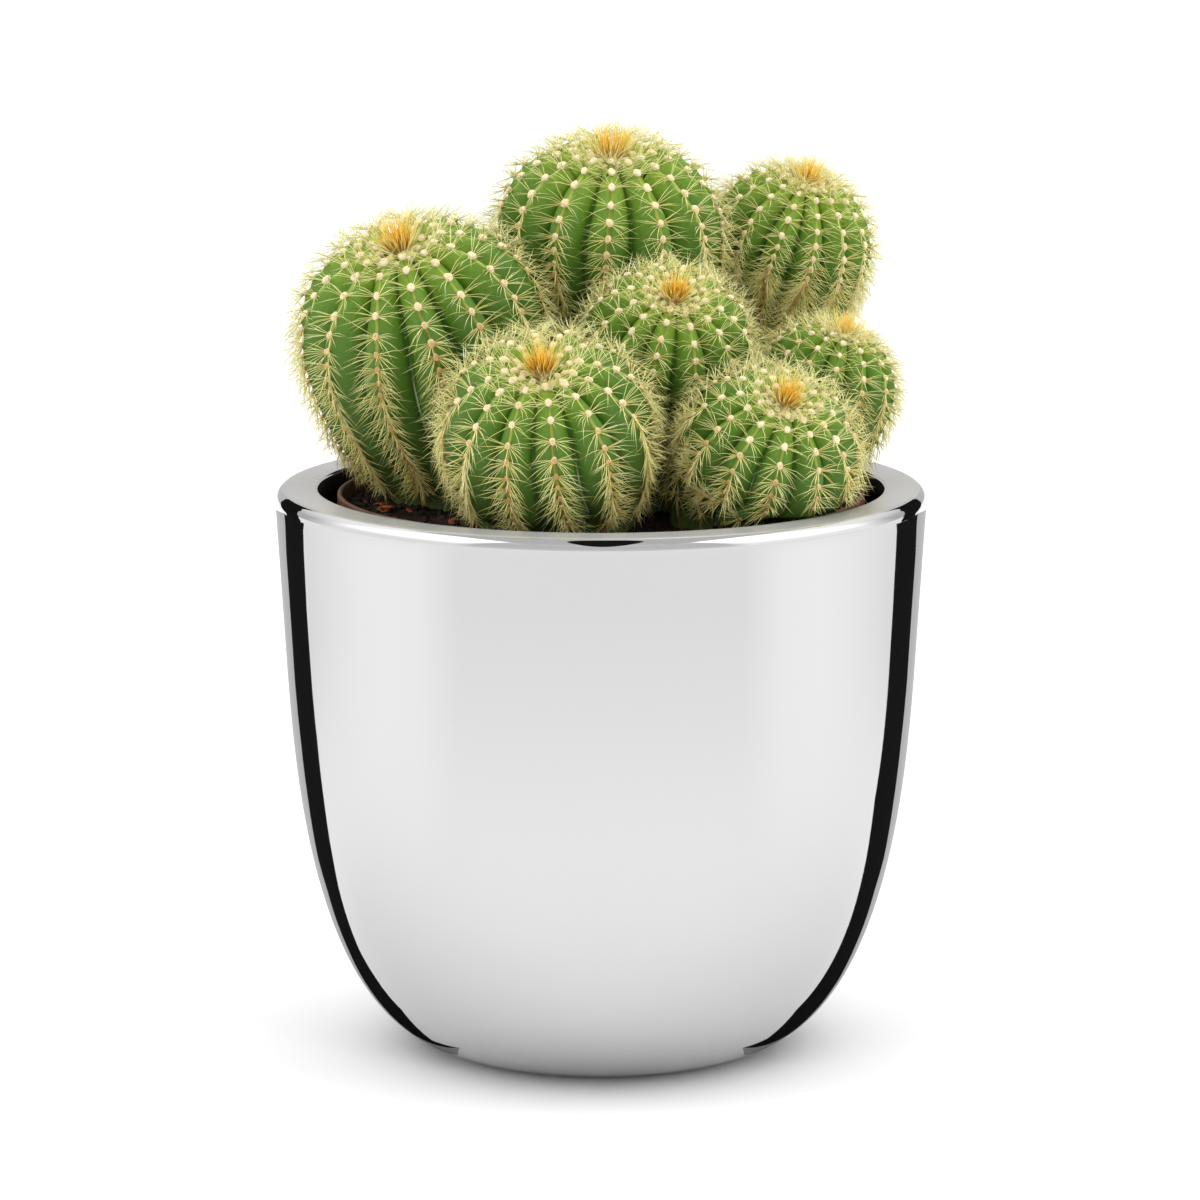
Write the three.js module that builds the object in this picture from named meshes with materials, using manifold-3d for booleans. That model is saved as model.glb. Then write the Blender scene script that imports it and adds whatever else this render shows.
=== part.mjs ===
// A clump of ribbed, golden-spined cactus heads in a clay-coloured nursery pot,
// set into a mirror-polished steel planter with a broad flat rim. Millimetres,
// +Z up, with the origin at the centre of the planter's flat base. The front is
// at -Y, and the heads lean towards the light there.
import * as THREE from 'three';
import Module from 'manifold-3d';
import { mergeVertices } from 'three/addons/utils/BufferGeometryUtils.js';

const wasm = await Module();
wasm.setup();

// Planter: a pressed bowl with straight, slightly tapered upper walls, a belly
// that curves in to a small flat base, and a broad flat rim with a lip.
const PLANTER = {
  height: 175,
  rimRadius: 100,
  openingRadius: 86.8,
  taper: 9.6,
  bellyTop: 132,
  baseRadius: 39.2,
  bellyWidthPower: 2.5,
  bellyDepthPower: 2.9,
  wall: 1.4,
  rimRounding: 2,
  lip: 6,
};
const BELLY_STEPS = 8;
const ROUND_SIDES = 48;

// Nursery pot: a tapered pot that stands on the belly's curve.
const POT = {
  lipRadius: 81,
  lipTop: 173.4,
  bandHeight: 12,
  bandStep: 1.8,
  footRadius: 60,
  wall: 1.6,
  drainHoles: 6,
  drainRadius: 4,
  drainCircle: 42,
  drainSides: 8,
};

// Soil: its mean surface and how far it rises and falls.
const SOIL = { top: 168, relief: 1.1 };

// Clearance between pieces that touch.
const GAP = 0.3;

// Necks: the stems stand this deep in round holes in the soil, and leave it as
// plain stubs.
const NECK_BOTTOM = SOIL.top - 4;
const NECK_TOP = SOIL.top + 2;
const HOLE_SIDES = 16;

// Heads: x, y and z are the centre of the widest ring, radius its size, dome
// the height above it over the radius, taper the depth of the globe below it
// over the radius, neck the foot's radius over the radius, and foot the place
// in the soil. The top leans by these degrees, and turn turns the ribs.
const HEADS = [
  { x: -54.5, y: 7.5, z: 219.5, radius: 37.5, dome: 0.91, taper: 1.75, neck: 0.57,
    leanRight: -13, leanFront: 21, foot: [-45, 20], ribs: 13, turn: 6 },
  { x: 2.5, y: 46, z: 246.5, radius: 35.3, dome: 0.82, taper: 1.1, neck: 0.52,
    leanRight: 1, leanFront: 15, foot: [1, 43], ribs: 13, turn: 0 },
  { x: 59.5, y: 68.5, z: 240.5, radius: 25.7, dome: 0.93, taper: 1.6, neck: 0.54,
    leanRight: 15, leanFront: 15, foot: [42, 45], ribs: 14, turn: -11 },
  { x: 20, y: -4.5, z: 217, radius: 25.5, dome: 0.9, taper: 1.3, neck: 0.58,
    leanRight: 7, leanFront: 33, foot: [15, 5], ribs: 12, turn: -8 },
  { x: 69, y: 8, z: 203, radius: 21, dome: 0.93, taper: 1.5, neck: 0.58,
    leanRight: 17, leanFront: 8, foot: [57, 11], ribs: 13, turn: 0 },
  { x: -15.5, y: -47.5, z: 196.5, radius: 31, dome: 0.93, taper: 1.25, neck: 0.64,
    leanRight: -5, leanFront: 33, foot: [-13, -37], ribs: 12, turn: 5 },
  { x: 49.3, y: -38.2, z: 189, radius: 26.6, dome: 0.92, taper: 1, neck: 0.58,
    leanRight: 16, leanFront: 32, foot: [36, -28], ribs: 12, turn: 7 },
];

// Shape of every head: the dome's squareness, its outline's length over the
// radius, how sharply the globe turns into the neck, how far the middle line
// runs straight at its ends, and the distance between rows of corners.
const DOME_POWER = 2.35;
const DOME_LENGTH = 1.35;
const NECK_BLEND = 5;
const LINE_PULL = 0.4;
const ROW_SPACING = 8;

// Ribs: their height over the head's radius, the share of the way up where they
// reach it, and how soon they grow lower towards the crown.
const RIB = { height: 0.15, foot: 0.12, narrowing: 1.33 };

// Crown: the dimple's radius and depth over the head's radius, and the pad of
// wool in it, with its heights over that radius and its width over the dimple's.
const CROWN = { radius: 0.3, depth: 0.1, pad: 0.78, shoulder: 0.05, summit: 0.065, sides: 10 };

// Areoles in millimetres, but for the share of the flank that they cover.
const AREOLE = { halfLength: 1.3, flank: 0.13, bulge: 0.7, firstRow: 2, aboveGround: 2 };

// Spines in millimetres on a head of the typical radius, and how clear they keep
// of the heads, of each other and of the bound that keeps them over the planter.
const TYPICAL_RADIUS = 34;
const SPINE = { length: 7.5, fromHead: 0.55, fromSpine: 0.95, reach: 99.4, samples: 4 };
const CROWN_SPINE = { edge: 6, shoulder: 7, summit: 8.5 };

// Ways to seat a spine, tried in turn: how far it is lifted towards the surface's
// normal, and how much of its length it keeps.
const SPINE_TRIES = [
  [0, 1],
  [0.6, 1],
  [0, 0.75],
  [0.9, 0.75],
  [0.3, 0.5],
];

const UP = new THREE.Vector3(0, 0, 1);
const TO_VIEWER = new THREE.Vector3(0, -1, 0);

const vec = (x, y, z) => new THREE.Vector3(x, y, z);
const radians = THREE.MathUtils.degToRad;
const clamp = THREE.MathUtils.clamp;

// The corner points and triangles of one closed body.
class Body {
  constructor() {
    this.points = [];
    this.faces = [];
  }

  add(point) {
    this.points.push(point);
    return this.points.length - 1;
  }

  face(a, b, c) {
    this.faces.push([a, b, c]);
  }

  // Joins two rings of corners, the second one above the first.
  band(lower, upper) {
    const count = lower.length;
    for (let i = 0; i < count; i++) {
      const next = (i + 1) % count;
      this.face(lower[i], lower[next], upper[next]);
      this.face(lower[i], upper[next], upper[i]);
    }
  }

  // Closes a ring with a fan round one corner, facing up or down.
  cap(ring, centre, facingUp) {
    const count = ring.length;
    for (let i = 0; i < count; i++) {
      const next = (i + 1) % count;
      if (facingUp) this.face(ring[i], ring[next], centre);
      else this.face(ring[next], ring[i], centre);
    }
  }

  // Raises a triangle into a three-sided needle that ends at the tip.
  needle(a, b, c, tip) {
    const top = this.add(tip);
    this.face(a, b, top);
    this.face(b, c, top);
    this.face(c, a, top);
  }

  geometry() {
    const geometry = new THREE.BufferGeometry();
    const position = new Float32Array(this.points.flatMap((p) => [p.x, p.y, p.z]));
    geometry.setAttribute('position', new THREE.BufferAttribute(position, 3));
    geometry.setIndex(this.faces.flat());
    geometry.computeVertexNormals();
    return geometry;
  }
}

// Repeatable random numbers from 0 to 1.
function randomSource(seed) {
  let state = seed;
  return () => {
    state = (state * 1664525 + 1013904223) % 4294967296;
    return state / 4294967296;
  };
}

// Booleans on closed geometries.
function toManifold(geometry) {
  const bare = geometry.clone();
  bare.deleteAttribute('normal');
  bare.deleteAttribute('uv');
  const merged = mergeVertices(bare, 1e-4);
  const vertProperties = new Float32Array(merged.attributes.position.array);
  const triVerts = new Uint32Array(merged.index.array);
  return new wasm.Manifold(new wasm.Mesh({ numProp: 3, vertProperties, triVerts }));
}

function fromManifold(solid) {
  const mesh = solid.getMesh();
  const geometry = new THREE.BufferGeometry();
  geometry.setAttribute('position', new THREE.BufferAttribute(mesh.vertProperties, 3));
  geometry.setIndex(new THREE.BufferAttribute(mesh.triVerts, 1));
  geometry.computeVertexNormals();
  return geometry;
}

// A post that stands on +Z, used to cut round holes.
function post(radius, bottom, top, x, y, sides) {
  const geometry = new THREE.CylinderGeometry(radius, radius, top - bottom, sides);
  geometry.rotateX(Math.PI / 2);
  geometry.translate(x, y, (bottom + top) / 2);
  return toManifold(geometry);
}

// A body of revolution about +Z, from an outline of [radius, height] pairs that
// starts at the bottom of the axis and runs up the outside.
function turned(outline) {
  const points = outline.map(([radius, height]) => new THREE.Vector2(radius, height));
  const geometry = new THREE.LatheGeometry(points, ROUND_SIDES);
  geometry.rotateX(Math.PI / 2);
  return geometry;
}

// Planter

// Outside of the belly at an angle, from 0 at its top to a quarter turn at the base.
function bellyPoint(angle) {
  const { height, rimRadius, taper, bellyTop, baseRadius } = PLANTER;
  const z = bellyTop * (1 - Math.sin(angle) ** (2 / PLANTER.bellyDepthPower));
  const full = rimRadius - (taper * (height - z)) / height;
  const width = Math.cos(angle) ** (2 / PLANTER.bellyWidthPower);
  return [baseRadius + (full - baseRadius) * width, z];
}

// Inside of the belly: its outside moved inwards by the sheet's thickness.
function bellyInside(angle) {
  const step = 0.01;
  const [r0, z0] = bellyPoint(Math.max(angle - step, 0.001));
  const [r1, z1] = bellyPoint(Math.min(angle + step, Math.PI / 2));
  const [r, z] = bellyPoint(angle);
  const length = Math.hypot(r1 - r0, z1 - z0);
  const inward = [(z1 - z0) / length, -(r1 - r0) / length];
  return [r + inward[0] * PLANTER.wall, z + inward[1] * PLANTER.wall];
}

const bellyAngles = Array.from({ length: BELLY_STEPS }, (_, i) => (i / BELLY_STEPS) * (Math.PI / 2));

// The inside has every other point of the outside.
const planterInside = bellyAngles.filter((_, i) => i % 2 === 0).map(bellyInside);

function planterGeometry() {
  const { height, rimRadius, openingRadius, baseRadius, wall, rimRounding, lip } = PLANTER;
  const soften = rimRounding * (1 - Math.SQRT1_2);
  const outline = [
    [0, 0],
    [baseRadius, 0],
    ...bellyAngles.map(bellyPoint).reverse(),
    [rimRadius, height - rimRounding],
    [rimRadius - soften, height - soften],
    [rimRadius - rimRounding, height],
    [openingRadius, height],
    [openingRadius, height - lip],
    [openingRadius + wall, height - lip],
    [openingRadius + wall, height - wall],
    [rimRadius - wall, height - wall],
    ...planterInside,
    [0, wall],
  ];
  return turned(outline);
}

// Height at which something of this radius meets the inside of the belly.
function seatHeight(radius) {
  const outline = [...planterInside, [0, PLANTER.wall]];
  const i = outline.findIndex(([r]) => r < radius);
  const [r0, z0] = outline[i - 1];
  const [r1, z1] = outline[i];
  return z1 + ((radius - r1) / (r0 - r1)) * (z0 - z1);
}

// Nursery pot

const POT_BOTTOM = seatHeight(POT.footRadius + GAP) + GAP;
const BAND_BOTTOM = POT.lipTop - POT.bandHeight;

// Radius of the pot's tapered wall, outside, at a height below the rim band.
function potRadius(z) {
  const top = POT.lipRadius - POT.bandStep;
  const share = clamp((z - POT_BOTTOM) / (BAND_BOTTOM - POT_BOTTOM), 0, 1);
  return POT.footRadius + (top - POT.footRadius) * share;
}

function potGeometry() {
  const { lipRadius, lipTop, wall, footRadius } = POT;
  const outline = [
    [0, POT_BOTTOM],
    [footRadius, POT_BOTTOM],
    [potRadius(BAND_BOTTOM), BAND_BOTTOM],
    [lipRadius, BAND_BOTTOM + 1],
    [lipRadius, lipTop],
    [lipRadius - wall, lipTop],
    [lipRadius - wall, BAND_BOTTOM + 1],
    [potRadius(BAND_BOTTOM) - wall, BAND_BOTTOM - 1],
    [footRadius - wall, POT_BOTTOM + wall],
    [0, POT_BOTTOM + wall],
  ];
  let pot = toManifold(turned(outline));
  for (let i = 0; i < POT.drainHoles; i++) {
    const angle = (i / POT.drainHoles) * Math.PI * 2;
    const x = Math.cos(angle) * POT.drainCircle;
    const y = Math.sin(angle) * POT.drainCircle;
    const [below, above] = [POT_BOTTOM - 1, POT_BOTTOM + wall + 1];
    pot = pot.subtract(post(POT.drainRadius, below, above, x, y, POT.drainSides));
  }
  return fromManifold(pot);
}

// Heads

function headAxis(head) {
  const right = Math.tan(radians(head.leanRight));
  const front = Math.tan(radians(head.leanFront));
  return vec(right, -front, 1).normalize();
}

const headCentre = (head) => vec(head.x, head.y, head.z);

// The stem's middle line, from the neck's top to the centre of the globe.
function stemLine(head) {
  const [x, y] = head.foot;
  const foot = vec(x, y, NECK_TOP);
  const centre = headCentre(head);
  const pull = LINE_PULL * foot.distanceTo(centre);
  const rise = foot.clone().addScaledVector(UP, pull);
  const lean = centre.clone().addScaledVector(headAxis(head), -pull);
  return new THREE.CubicBezierCurve3(foot, rise, lean, centre);
}

// Radius of the body at a distance below the centre of the globe.
function lowerRadius(head, distance) {
  const { radius, neck, taper } = head;
  const globe = Math.max(0, 1 - (distance / (taper * radius)) ** 2);
  const blend = neck ** NECK_BLEND + globe ** (NECK_BLEND / 2);
  return radius * (blend / (1 + neck ** NECK_BLEND)) ** (1 / NECK_BLEND);
}

// The stations of a head from its neck up to the edge of the crown: the point on
// the middle line, its direction, the way along it and the radius there.
function stations(head, spacing) {
  const line = stemLine(head);
  const centre = headCentre(head);
  const length = line.getLength();
  const lowerCount = Math.max(2, Math.round(length / spacing));
  const list = [];
  for (let i = 0; i < lowerCount; i++) {
    const share = i / lowerCount;
    const point = line.getPoint(share);
    const radius = lowerRadius(head, point.distanceTo(centre));
    list.push({ point, direction: line.getTangent(share), way: share * length, radius });
  }
  const axis = headAxis(head);
  const lastAngle = Math.acos(CROWN.radius ** (DOME_POWER / 2));
  const upperCount = Math.max(3, Math.round((DOME_LENGTH * head.radius) / spacing));
  for (let i = 0; i <= upperCount; i++) {
    const angle = (i / upperCount) * lastAngle;
    const height = head.dome * head.radius * Math.sin(angle) ** (2 / DOME_POWER);
    const radius = head.radius * Math.cos(angle) ** (2 / DOME_POWER);
    const point = centre.clone().addScaledVector(axis, height);
    list.push({ point, direction: axis, way: length + height, radius });
  }
  return list;
}

// Two directions across a station: towards the viewer, and to the right.
function across(direction) {
  const front = TO_VIEWER.clone().addScaledVector(direction, -TO_VIEWER.dot(direction)).normalize();
  const right = direction.clone().cross(front);
  return { front, right };
}

function outward(station, angle) {
  const { front, right } = across(station.direction);
  return front.multiplyScalar(Math.cos(angle)).addScaledVector(right, Math.sin(angle));
}

// Lowest a stem may reach where it leans out over the soil and the nursery pot's
// lip: a ramp that ends level above the lip.
const RAMP = { inside: 11, slope: 0.8, above: 0.7 };

function groundLimit(point) {
  const inside = POT.lipRadius - RAMP.inside - Math.hypot(point.x, point.y);
  return Math.max(NECK_TOP, POT.lipTop + RAMP.above - RAMP.slope * Math.max(0, inside));
}

// How far the furrows lie below the crests at a station.
function furrowDepth(head, station, share) {
  const narrowing = Math.min(1, (RIB.narrowing * station.radius) / head.radius);
  return RIB.height * head.radius * narrowing * clamp(share / RIB.foot, 0, 1);
}

// The outward slope of the body at a station, as parts out and along.
function slope(list, i) {
  const before = list[Math.max(i - 1, 0)];
  const after = list[Math.min(i + 1, list.length - 1)];
  const out = after.way - before.way;
  const along = before.radius - after.radius;
  const length = Math.hypot(out, along);
  return { out: out / length, along: along / length };
}

// The shapes of all heads: the rows of their corners, and a finer row of stations
// for the clearance of their spines.
const FINE_SPACING = 1.6;
const shapes = HEADS.map((head, index) => ({
  index,
  head,
  axis: headAxis(head),
  rows: stations(head, ROW_SPACING),
  fine: stations(head, FINE_SPACING),
}));

// Tests whether a point keeps clear of a head, where it is beside its stations.
function clearOfHead(shape, point, clearance) {
  const measured = shape.fine.map((station) => {
    const away = point.clone().sub(station.point);
    return { station, away, along: away.dot(station.direction) };
  });
  const nearer = (a, b) => (Math.abs(b.along) < Math.abs(a.along) ? b : a);
  const { station, away, along } = measured.reduce(nearer);
  if (Math.abs(along) > FINE_SPACING * 1.5) return true;
  return away.addScaledVector(station.direction, -along).length() > station.radius + clearance;
}

// The points along a spine at which its clearance is tested.
function samples(spine) {
  const steps = Array.from({ length: SPINE.samples }, (_, i) => (i + 1) / SPINE.samples);
  return steps.map((step) => spine.root.clone().lerp(spine.tip, step));
}

// Shortest distance from the samples of one spine to another one.
function apart(spine, other) {
  const line = new THREE.Line3(other.root, other.tip);
  const foot = new THREE.Vector3();
  const distances = samples(spine).map((point) => {
    line.closestPointToPoint(point, true, foot);
    return point.distanceTo(foot);
  });
  return Math.min(...distances);
}

const spines = [];

// Tests one spine against the bound, the soil, the pots, the heads and the
// spines of other areoles.
function spineFits(spine, owner) {
  const points = samples(spine);
  const outside = points.some((point) => {
    const middle = Math.hypot(point.x, point.y);
    if (Math.max(Math.abs(point.x), Math.abs(point.y)) > SPINE.reach) return true;
    if (point.z < NECK_TOP) return true;
    return point.z < PLANTER.height + 1 && middle > POT.lipRadius - POT.wall - 1.5;
  });
  if (outside) return false;
  for (const shape of shapes) {
    const own = shape.index === owner;
    const free = own ? points.slice(1) : points;
    const clearance = own ? 0.2 : SPINE.fromHead;
    if (!free.every((point) => clearOfHead(shape, point, clearance))) return false;
  }
  return spines.every((other) => {
    if (other.family === spine.family) return true;
    if (other.root.distanceTo(spine.root) > 3 * SPINE.length) return true;
    return Math.min(apart(spine, other), apart(other, spine)) > SPINE.fromSpine;
  });
}

// Raises a spine on a triangle, in the first way that fits, or leaves the
// triangle as it is where nothing fits.
function growSpine(body, corners, lean, normal, length, owner, family) {
  const [a, b, c] = corners;
  const root = body.points[a].clone().add(body.points[b]).add(body.points[c]).divideScalar(3);
  for (const [lift, scale] of SPINE_TRIES) {
    const direction = lean.clone().addScaledVector(normal, lift).normalize();
    const tip = root.clone().addScaledVector(direction, length * scale);
    const spine = { root, tip, family };
    if (spineFits(spine, owner)) {
      spines.push(spine);
      body.needle(a, b, c, tip);
      return;
    }
  }
  body.face(a, b, c);
}

// The corner grid of a stem: two columns a rib, crest and furrow in turn.
function stemGrid(body, shape) {
  const { head, rows } = shape;
  const columns = head.ribs * 2;
  const grid = rows.map((station, row) => {
    const { out, along } = slope(rows, row);
    const depth = furrowDepth(head, station, row / (rows.length - 1));
    return Array.from({ length: columns }, (_, column) => {
      const angle = radians(head.turn) + (column / columns) * Math.PI * 2;
      const drop = column % 2 === 0 ? 0 : depth;
      const away = outward(station, angle);
      const point = station.point.clone().addScaledVector(away, station.radius - drop * out);
      point.addScaledVector(station.direction, -drop * along);
      point.z = Math.max(point.z, groundLimit(point));
      return body.add(point);
    });
  });
  return grid;
}

// An areole round a crest corner: a small diamond with a raised middle, whose four
// faces carry spines, joined to the eight corners of the grid round it.
function areole(body, grid, row, column, shape, random) {
  const { head, rows, index } = shape;
  const columns = head.ribs * 2;
  const left = (column + columns - 1) % columns;
  const right = (column + 1) % columns;
  const at = (r, c) => body.points[grid[r][c]];
  const middle = at(row, column);
  const upward = at(row + 1, column).clone().sub(middle).normalize();
  const downward = at(row - 1, column).clone().sub(middle).normalize();
  const toRight = at(row, right).clone().sub(middle);
  const toLeft = at(row, left).clone().sub(middle);
  const crest = upward.clone().sub(downward).normalize();
  const side = toRight.clone().sub(toLeft).normalize();
  const normal = side.clone().cross(crest).normalize();

  const top = body.add(middle.clone().addScaledVector(upward, AREOLE.halfLength));
  const bottom = body.add(middle.clone().addScaledVector(downward, AREOLE.halfLength));
  const east = body.add(middle.clone().addScaledVector(toRight, AREOLE.flank));
  const west = body.add(middle.clone().addScaledVector(toLeft, AREOLE.flank));
  const peak = grid[row][column];
  body.points[peak] = middle.clone().addScaledVector(normal, AREOLE.bulge);

  const [below, above] = [grid[row - 1], grid[row + 1]];
  const here = grid[row];
  body.face(below[left], below[column], bottom);
  body.face(below[column], below[right], bottom);
  body.face(bottom, below[right], east);
  body.face(below[right], here[right], east);
  body.face(here[right], above[right], east);
  body.face(east, above[right], top);
  body.face(above[right], above[column], top);
  body.face(above[column], above[left], top);
  body.face(top, above[left], west);
  body.face(above[left], here[left], west);
  body.face(here[left], below[left], west);
  body.face(west, below[left], bottom);

  const height = row / (rows.length - 1);
  const family = `${index}-${row}-${column}`;
  const size = SPINE.length * Math.sqrt(head.radius / TYPICAL_RADIUS) * (0.8 + 0.2 * height);
  const quarters = [
    [bottom, east, 1, -1],
    [east, top, 1, 1],
    [top, west, -1, 1],
    [west, bottom, -1, -1],
  ];
  for (const [from, to, sideways, up] of quarters) {
    const rise = up > 0 ? 0.65 * height - 0.15 : -0.75 + 0.2 * height;
    const lean = normal.clone().multiplyScalar(0.45 + 0.55 * height);
    lean.addScaledVector(side, sideways * (0.95 - 0.3 * height));
    lean.addScaledVector(crest, rise).normalize();
    const length = size * (0.88 + 0.24 * random());
    growSpine(body, [from, to, peak], lean, normal, length, index, family);
  }
}

function stemGeometry(shape) {
  const { head, rows, axis } = shape;
  const body = new Body();
  const random = randomSource(11 + shape.index);
  const grid = stemGrid(body, shape);
  const columns = head.ribs * 2;
  const last = rows.length - 1;
  // Every other crest corner has an areole, staggered from rib to rib.
  const hasAreole = (row, column) => {
    if (column % 2 === 1 || (row + column / 2) % 2 === 1) return false;
    if (row < AREOLE.firstRow || row === last) return false;
    const point = body.points[grid[row][column]];
    return point.z > groundLimit(point) + AREOLE.aboveGround;
  };

  for (let row = 0; row < last; row++) {
    for (let column = 0; column < columns; column++) {
      const next = (column + 1) % columns;
      const crest = column % 2 === 0 ? column : next;
      if (hasAreole(row, crest) || hasAreole(row + 1, crest)) continue;
      const [a, b] = [grid[row][column], grid[row][next]];
      const [c, d] = [grid[row + 1][next], grid[row + 1][column]];
      if (column % 2 === 0) {
        body.face(a, b, d);
        body.face(b, c, d);
      } else {
        body.face(a, b, c);
        body.face(a, c, d);
      }
    }
  }
  for (let row = AREOLE.firstRow; row < last; row++) {
    for (let column = 0; column < columns; column += 2) {
      if (hasAreole(row, column)) areole(body, grid, row, column, shape, random);
    }
  }

  const [x, y] = head.foot;
  const stub = grid[0].map((corner) => {
    const point = body.points[corner];
    return body.add(vec(point.x, point.y, NECK_BOTTOM));
  });
  body.band(stub, grid[0]);
  body.cap(stub, body.add(vec(x, y, NECK_BOTTOM)), false);
  const dimple = rows[last].point.clone().addScaledVector(axis, -CROWN.depth * head.radius);
  body.cap(grid[last], body.add(dimple), true);
  return body.geometry();
}

// Crowns

// A pad of wool in the dimple, with golden spines raised from its upper faces:
// long and upright in the middle, shorter and leaning at the edge.
function crownGeometry(shape) {
  const { head, rows, axis, index } = shape;
  const body = new Body();
  const random = randomSource(71 + index);
  const edge = rows[rows.length - 1];
  const onAxis = (height) => edge.point.clone().addScaledVector(axis, height);
  const ring = (radius, height, shift) =>
    Array.from({ length: CROWN.sides }, (_, i) => {
      const angle = ((i + shift) / CROWN.sides) * Math.PI * 2;
      return body.add(onAxis(height).addScaledVector(outward(edge, angle), radius));
    });
  const padRadius = CROWN.pad * CROWN.radius * head.radius;
  const furrowFloor = furrowDepth(head, edge, 1);
  const outer = ring(padRadius, furrowFloor * 0.2 + GAP, 0);
  const inner = ring(padRadius / 2, CROWN.shoulder * head.radius + GAP, 0.5);
  const summit = body.add(onAxis(CROWN.summit * head.radius + GAP));
  const base = body.add(onAxis(GAP + 0.2 - CROWN.depth * head.radius));
  body.cap(outer, base, false);

  const reach = Math.sqrt(head.radius / TYPICAL_RADIUS);
  const raise = (corners, spread, length) => {
    const middle = vec(0, 0, 0);
    for (const corner of corners) middle.addScaledVector(body.points[corner], 1 / 3);
    const away = middle.sub(edge.point);
    away.addScaledVector(axis, -away.dot(axis)).normalize();
    const lean = axis.clone().addScaledVector(away, spread);
    const size = length * reach * (0.85 + 0.3 * random());
    growSpine(body, corners, lean, axis, size, index, `crown-${index}`);
  };
  for (let i = 0; i < CROWN.sides; i++) {
    const next = (i + 1) % CROWN.sides;
    raise([outer[i], outer[next], inner[i]], 0.75, CROWN_SPINE.edge);
    raise([outer[next], inner[next], inner[i]], 0.5, CROWN_SPINE.shoulder);
    raise([inner[i], inner[next], summit], 0.2, CROWN_SPINE.summit);
  }
  return body.geometry();
}

// Soil

// Rise and fall of the soil's surface.
function soilRelief(x, y) {
  const long = Math.sin(x / 13 + 0.7) * Math.cos(y / 11 - 0.4);
  const short = Math.sin(x / 5.1 - y / 6.3);
  return SOIL.relief * (0.6 * long + 0.4 * short);
}

function soilGeometry() {
  const body = new Body();
  const wallGap = POT.wall + GAP + 0.1;
  const bottom = POT_BOTTOM + POT.wall + GAP;
  const edge = POT.lipRadius - wallGap;
  const topRings = [0.5, 1].map((share) => ({ radius: edge * share, top: true }));
  const outline = [
    { radius: POT.footRadius - wallGap, z: bottom },
    { radius: potRadius(BAND_BOTTOM) - wallGap, z: BAND_BOTTOM - 1.2 },
    { radius: edge, z: BAND_BOTTOM + 1 },
    ...topRings.reverse(),
  ];
  const rings = outline.map(({ radius, z, top }) => {
    const ring = [];
    for (let i = 0; i < ROUND_SIDES; i++) {
      const angle = (i / ROUND_SIDES) * Math.PI * 2;
      const x = radius * Math.cos(angle);
      const y = radius * Math.sin(angle);
      ring.push(body.add(vec(x, y, top ? SOIL.top + soilRelief(x, y) : z)));
    }
    return ring;
  });
  for (let i = 0; i + 1 < rings.length; i++) body.band(rings[i], rings[i + 1]);
  body.cap(rings[0], body.add(vec(0, 0, bottom)), false);
  body.cap(rings[rings.length - 1], body.add(vec(0, 0, SOIL.top + soilRelief(0, 0))), true);

  let soil = toManifold(body.geometry());
  for (const { head, rows } of shapes) {
    const [x, y] = head.foot;
    const radius = (rows[0].radius + GAP) / Math.cos(Math.PI / HOLE_SIDES);
    soil = soil.subtract(post(radius, NECK_BOTTOM - GAP, NECK_TOP, x, y, HOLE_SIDES));
  }
  return fromManifold(soil);
}

// Materials

const finishes = {
  planter: { color: 0xd9dadc, roughness: 0.06, metalness: 1 },
  nursery_pot: { color: 0xa5603f, roughness: 0.75, metalness: 0 },
  soil: { color: 0x2a1c14, roughness: 1, metalness: 0 },
  stem: { color: 0x5d9440, roughness: 0.55, metalness: 0 },
  crown: { color: 0xe9c873, roughness: 0.9, metalness: 0 },
};

function named(name, finish, geometry) {
  const mesh = new THREE.Mesh(geometry, new THREE.MeshStandardMaterial(finishes[finish]));
  mesh.name = name;
  return mesh;
}

const plant = new THREE.Group();
const crowns = shapes.map((shape) => crownGeometry(shape));
const stems = shapes.map((shape) => stemGeometry(shape));
shapes.forEach((shape, i) => {
  plant.add(named(`stem_${i + 1}`, 'stem', stems[i]));
  plant.add(named(`crown_${i + 1}`, 'crown', crowns[i]));
});

const pottedCactus = new THREE.Group();
pottedCactus.add(named('planter', 'planter', planterGeometry()));
pottedCactus.add(named('nursery_pot', 'nursery_pot', potGeometry()));
pottedCactus.add(named('soil', 'soil', soilGeometry()));
pottedCactus.add(plant);

export default pottedCactus;
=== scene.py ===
import math

import bmesh
import bpy
import numpy as np
from mathutils import Matrix, Vector


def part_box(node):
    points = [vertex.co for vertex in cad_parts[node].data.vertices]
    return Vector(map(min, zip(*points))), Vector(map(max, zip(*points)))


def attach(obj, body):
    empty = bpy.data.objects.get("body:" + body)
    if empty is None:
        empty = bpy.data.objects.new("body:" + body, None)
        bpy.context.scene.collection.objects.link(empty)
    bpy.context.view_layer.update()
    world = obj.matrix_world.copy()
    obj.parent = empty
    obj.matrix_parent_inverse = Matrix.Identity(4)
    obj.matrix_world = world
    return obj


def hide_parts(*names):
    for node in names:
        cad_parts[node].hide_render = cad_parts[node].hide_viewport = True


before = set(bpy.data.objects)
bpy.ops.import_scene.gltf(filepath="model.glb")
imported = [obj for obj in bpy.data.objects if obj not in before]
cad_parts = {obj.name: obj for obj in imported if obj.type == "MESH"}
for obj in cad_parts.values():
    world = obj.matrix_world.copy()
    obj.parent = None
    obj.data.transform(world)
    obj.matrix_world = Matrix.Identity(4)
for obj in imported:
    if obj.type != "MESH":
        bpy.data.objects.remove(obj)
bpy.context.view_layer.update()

# Sizes are in millimetres until a mesh is made, which turns them to metres. A pattern's
# scale is a metre over the size of its patches or grains in millimetres.
MM = 0.001
METRE = 1000

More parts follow.
